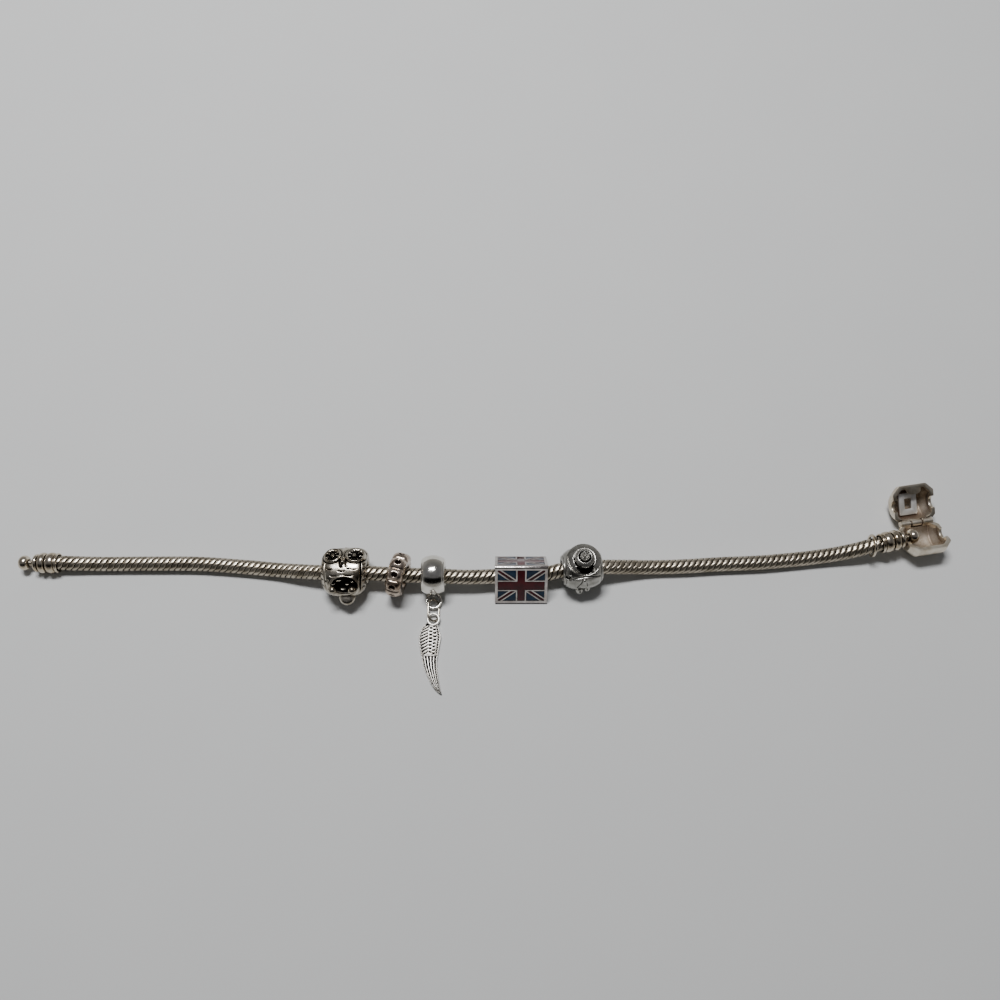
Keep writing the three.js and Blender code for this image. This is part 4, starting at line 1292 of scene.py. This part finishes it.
# Cast, blackened, then rubbed on a cloth: the eye sees white lines over black fields.
wing_silver = worn_silver(
    "cast_silver_wing",
    bright="f1eee8",
    dull="dad5cb",
    oxide="0c0a09",
    gloss=0.3,
    oxide_and_shade_start=0.12,
    oxide_and_shade_end=0.72,
    fleck=0.2,
    shelter=0.2,
)
wing = new_piece("wing_pendant", ring_points.reshape(-1, 3) + wing_place, wing_faces, wing_silver)
under_sunk = np.zeros((wing_rows, len(under_columns)))
note_recess(wing.data, np.concatenate([1.7 * (0.6 - lift), under_sunk], axis=1))
wing_ring_points, wing_ring_faces = wire_ring(wing_ring_radius, wing_ring_wire, cut=math.radians(100))
wing_ring_points += np.array([0, wing_ring_radius - wing_ring_overlap, oval_height])
joined(wing, [(wing_ring_points, wing_ring_faces)], wing_place)
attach(wing, "bracelet")
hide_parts("wing_pendant")


# The flag bead: a three sided prism cast in silver, its faces cut into cells with thin walls.
# The cells are filled with glossy vitreous enamel, deep red and dark blue, fired and polished.
faces_of_flag = ("near", "far", "under")
enamel_corners = ("ne", "nw", "sw", "se")


def copied(nodes, name, material, edge):
    """One rounded piece from the flat faced solids of some nodes, with its edges eased by edge mm."""
    shape = bmesh.new()
    for node in nodes:
        shape.from_mesh(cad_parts[node].data)
    bmesh.ops.remove_doubles(shape, verts=shape.verts, dist=2e-6)
    bmesh.ops.dissolve_limit(shape, angle_limit=math.radians(4), verts=shape.verts, edges=shape.edges)
    sharp = [line for line in shape.edges if line.calc_face_angle(0) > math.radians(25)]
    bmesh.ops.bevel(
        shape, geom=sharp, offset=edge / 1000, segments=2, profile=0.6, affect="EDGES", clamp_overlap=True
    )
    mesh = bpy.data.meshes.new(name)
    shape.to_mesh(mesh)
    shape.free()
    mesh.materials.append(material)
    mesh.polygons.foreach_set("use_smooth", [True] * len(mesh.polygons))
    mesh.set_sharp_from_angle(angle=math.radians(30))
    piece = bpy.data.objects.new(name, mesh)
    bpy.context.scene.collection.objects.link(piece)
    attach(piece, "bracelet")
    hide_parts(*nodes)
    return piece


def enamel(name, deep, pale):
    """Vitreous enamel, fired in its cell and stoned flat: the eye sees a deep wet looking colour,
    a hard clear gloss, slow waves in the surface, and a few pits and darker grains."""
    material = bpy.data.materials.new(name)
    material.use_nodes = True
    tree = material.node_tree
    shader = tree.nodes["Principled BSDF"]
    shader.inputs["Roughness"].default_value = 0.1
    shader.inputs["IOR"].default_value = 1.52
    shader.inputs["Specular IOR Level"].default_value = 0.2
    place = add_node(tree, "ShaderNodeTexCoord").outputs["Object"]
    # Colour drifts over about 1.5 mm, grains of about 0.1 mm
    drift = add_node(tree, "ShaderNodeTexNoise", {"Scale": 650, "Detail": 3}, {"Vector": place})
    grain = add_node(tree, "ShaderNodeTexNoise", {"Scale": 9000, "Detail": 2}, {"Vector": place})
    mixed = add_node(
        tree,
        "ShaderNodeMath",
        {"operation": "MULTIPLY_ADD", 1: 0.5},
        {0: grain.outputs["Fac"], 2: drift.outputs["Fac"]},
    )
    share = add_node(
        tree,
        "ShaderNodeMapRange",
        {"From Min": 0.5, "From Max": 1.0},
        {"Value": mixed.outputs[0]},
    )
    tint = add_node(
        tree,
        "ShaderNodeMix",
        {"data_type": "RGBA", 6: linear(deep), 7: linear(pale)},
        {0: share.outputs["Result"]},
    )
    tree.links.new(tint.outputs[2], shader.inputs["Base Color"])
    wave_size = {"Strength": 0.25, "Distance": 0.00004}
    waves = add_node(tree, "ShaderNodeBump", wave_size, {"Height": mixed.outputs[0]})
    tree.links.new(waves.outputs["Normal"], shader.inputs["Normal"])
    return material


# Cast and stoned flat with the enamel: the eye sees thin pinkish grey walls and a bright ridge.
frame_silver = worn_silver(
    "cast_silver_frame",
    bright="c6c0bc",
    dull="9c9490",
    oxide="14100f",
    gloss=0.14,
    oxide_and_shade_start=0.22,
    oxide_and_shade_end=0.8,
    fleck=0.2,
    shelter=0.35,
)
flag = copied(["flag_bead"], "flag_bead", frame_silver, 0.055)
red_cells = [f"enamel_{face}_cross" for face in faces_of_flag]
red_cells += [f"enamel_{face}_strip_{corner}" for face in faces_of_flag for corner in enamel_corners]
blue_cells = [
    f"enamel_{face}_field_{part}_{corner}"
    for face in faces_of_flag
    for part in ("top", "side")
    for corner in enamel_corners
]
red_enamel = copied(red_cells, "red_enamel", enamel("red_vitreous_enamel", "35060e", "520b16"), 0.05)
blue_enamel = copied(blue_cells, "blue_enamel", enamel("blue_vitreous_enamel", "061a32", "0b324c"), 0.05)


# The figure bead: a polished cast bead, a little hooded figure in a broad hat that looks up.
# The hat's knob is left rough, and the seams, the stud's surround and the shoes' eyelets are
# blackened. The hollow under its brim is painted black, as painted shade.
figure_width = 8.3
figure_radius = 4.45
figure_taper = 0.36
figure_yaw = math.radians(6)
hat_radius = 3.58
hat_aside = 0.35
hat_back = 0.7
hat_seat = figure_radius - 1.235
knob_radius = 1.02
knob_back = 0.35


def figure_out(share, turn):
    """How far out the figure's coat lies, with its edges, its seams and the bore's rims."""
    x = share * figure_width / 2
    t = np.degrees(turn)
    plain = figure_radius * (1 - figure_taper * np.abs(share) ** 3)
    # It is flat below the hood, which covers it
    covered = 1 - step_up(np.hypot(x - hat_aside, plain * np.cos(turn) - hat_back), 3.3, 3.5)
    flat = np.where(np.sin(turn) > 0.2, (hat_seat - 0.35) / np.maximum(np.sin(turn), 0.2), plain)
    plain = plain * (1 - covered) + np.minimum(plain, flat) * covered
    # The coat's front edges run down from the stud, and its hem lies over the shoes
    relief = np.zeros_like(x)
    front = step_up(t, 131, 136) * (1 - step_up(t, 205, 215))
    left_edge = x + 0.3 + 1.15 * step_up(t, 138, 176)
    right_edge = x - 0.42 - 0.25 * step_up(t, 145, 176)
    relief -= 0.3 * near(left_edge, 0, 0.13) * step_up(t, 138, 143) * (1 - step_up(t, 172, 178))
    relief -= 0.14 * near(right_edge, 0, 0.1) * step_up(t, 148, 154) * (1 - step_up(t, 168, 176))
    relief -= 0.07 * step_up(left_edge, -0.05, 0.2) * (1 - step_up(right_edge, -0.2, 0.05)) * front
    # The seam below the hood, a sleeve's dark hollow at the left, and the bore's raised rims
    seam = t - 132.5 - 0.91 * (x - 0.3) ** 2
    relief -= 0.34 * near(seam, 0, 2.1) * (1 - step_up(np.abs(x), 3.2, 3.7))
    sleeve = np.hypot((x + 3.2) / 0.62, (t - 136) / 8.5)
    relief -= 0.6 * (1 - step_up(sleeve, 0.6, 1.0))
    relief += 0.1 * near(sleeve, 1.15, 0.14)
    relief -= 0.12 * near(np.abs(x), 3.72, 0.1)
    return plain + relief


def hat_parts(away, turn):
    """The hood's and hat's height above the hood's rim, and how deep they are cut there."""
    x, y = away * np.cos(turn), away * np.sin(turn)
    height = 1.25 * (1 - (np.clip(away, 0, hat_radius) / hat_radius) ** 2)
    # The hat: its brim stands proud of the hood, with a groove round it, cut deeper on the face side
    # so that its front half is painted blacker, as painted shade under the brim
    brim = np.hypot(x - 0.1, y - 0.1)
    height += (0.3 - 0.05 * brim**2) * (1 - step_up(brim, 1.9, 2.02))
    cut = 0.24 * near(brim, 2.13, 0.1) * (0.35 + 0.65 * step_up(-y, 0.2, 1.4))
    # The knob, left rough, with a black ring round it
    knob = np.hypot(x - 0.18, y - knob_back)
    rough = 0.1 * np.sin(8.3 * x + 1.2) * np.sin(7.1 * y + 0.4) + 0.06 * np.sin(15 * x + 9 * y)
    head = 1.64 + 0.32 * np.sqrt(np.clip(1 - (knob / knob_radius) ** 2, 0, 1))
    head += 1.3 * rough * (1 - step_up(knob, 0.8, 1.0))
    beside = step_up(knob, 0.94, 1.04)
    height = height * beside + head * (1 - beside)
    cut += 0.3 * near(knob, 1.2, 0.13)
    # The shaded hollow below the brim, with a curl of hair at each side of it; its cut is painted black as
    # painted shade
    below = np.degrees(np.arctan2(np.abs(x), -y))
    outer = 3.2 - 0.75 * (below / 50) ** 2
    hollow = step_up(away, 2.08, 2.2) * (1 - step_up(away, outer - 0.12, outer))
    cut += 0.85 * hollow * (1 - step_up(below, 44, 50))
    for curl_x in (-1.42, 1.62):
        curl = np.hypot(x - curl_x, y + 2.35)
        lump = 0.7 * (1 - step_up(curl, 0.32, 0.48)) - 0.3 * (1 - step_up(curl, 0.1, 0.2))
        cut -= lump * (1 - step_up(below, 60, 70))
    seam = near(x + 2.05 + 0.2 * y, 0, 0.12)
    cut += 0.3 * seam * step_up(y, -1.5, -1.1) * (1 - step_up(y, 0.2, 0.6))
    return height - cut, cut


# Cast and polished: the eye sees neutral grey with black seams, and a hollow for the face painted black as
# painted shade.
figure_silver = worn_silver(
    "cast_silver_smooth",
    bright="b4b2ac",
    dull="8b8983",
    oxide="090808",
    gloss=0.2,
    oxide_and_shade_start=0.2,
    oxide_and_shade_end=0.75,
    fleck=0.25,
    shelter=0.6,
)
figure_x = 17.1 + route_shift[0]
figure_place = np.array([*on_route(figure_x)[:2], figure_radius])
figure_turns = turns_of((0, 125, 60), (125, 215, 170), (215, 360, 60))
figure = cast_bead(
    "figure_bead",
    figure_width / 2,
    bead_bore,
    figure_turns,
    shares_of(120),
    figure_out,
    figure_place,
    figure_silver,
    figure_yaw,
)
mark_recesses(figure.data, passes=22, depth=0.1)

hat_turns = turns_of((0, 360, 240))
hat_away = np.concatenate([[0.004], np.linspace(0.04, 3.5, 130), [3.54, 3.57, hat_radius]])
turn, away = np.meshgrid(hat_turns, hat_away, indexing="ij")
hat_height, hat_cut = hat_parts(away, turn)
hat_top = np.stack([away * np.cos(turn), away * np.sin(turn), hat_height], -1)
# The hood's skirt, tucked in below its rim: how far out, and how far down
skirt = [
    (hat_radius + 0.01, -0.06),
    (hat_radius - 0.02, -0.2),
    (3.4, -0.36),
    (3.1, -0.7),
    (2.7, -1.2),
    (0.01, -1.25),
]
hat_rim = hat_top[:, -1, 2]
hat_low = [
    np.stack([out * np.cos(hat_turns), out * np.sin(hat_turns), hat_rim + low], -1) for out, low in skirt
]
hat_points = np.concatenate([hat_top, np.stack(hat_low, axis=1)], axis=1)
hat_columns = hat_points.shape[1]
hat_shift = np.array([hat_aside, hat_back, hat_seat])
hat = new_piece(
    "figure_hat",
    turned_to(hat_points.reshape(-1, 3) + hat_shift, yaw=figure_yaw, place=figure_place),
    grid_faces(len(hat_turns), hat_columns, closed_rows=True),
    figure_silver,
)
# The cuts set how black the hat is: oxide in its grooves and seam, painted shade in the hollow under the
# brim and the brim groove's front
deepest_cut = 0.25
skirt_sunk = np.zeros((len(hat_turns), len(skirt)))
note_recess(hat.data, np.concatenate([np.clip(hat_cut / deepest_cut, -1, 1), skirt_sunk], axis=1))
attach(hat, "bracelet")
joined(
    figure,
    [
        rounded_blob((-0.05, -0.8 * figure_radius, 0.6 * figure_radius), (0.48, 0.5, 0.5)),
        rounded_blob((-0.95, -4.3, -1.15), (0.82, 0.85, 1.25), ((0.05, -0.85, 0.55), 0.035, 0.4)),
        rounded_blob((0.62, -4.05, -0.85), (0.72, 0.8, 1.15), ((0.0, -0.85, 0.6), 0.035, 0.4)),
    ],
    figure_place,
    figure_yaw,
)
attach(figure, "bracelet")
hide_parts("figure_bead")
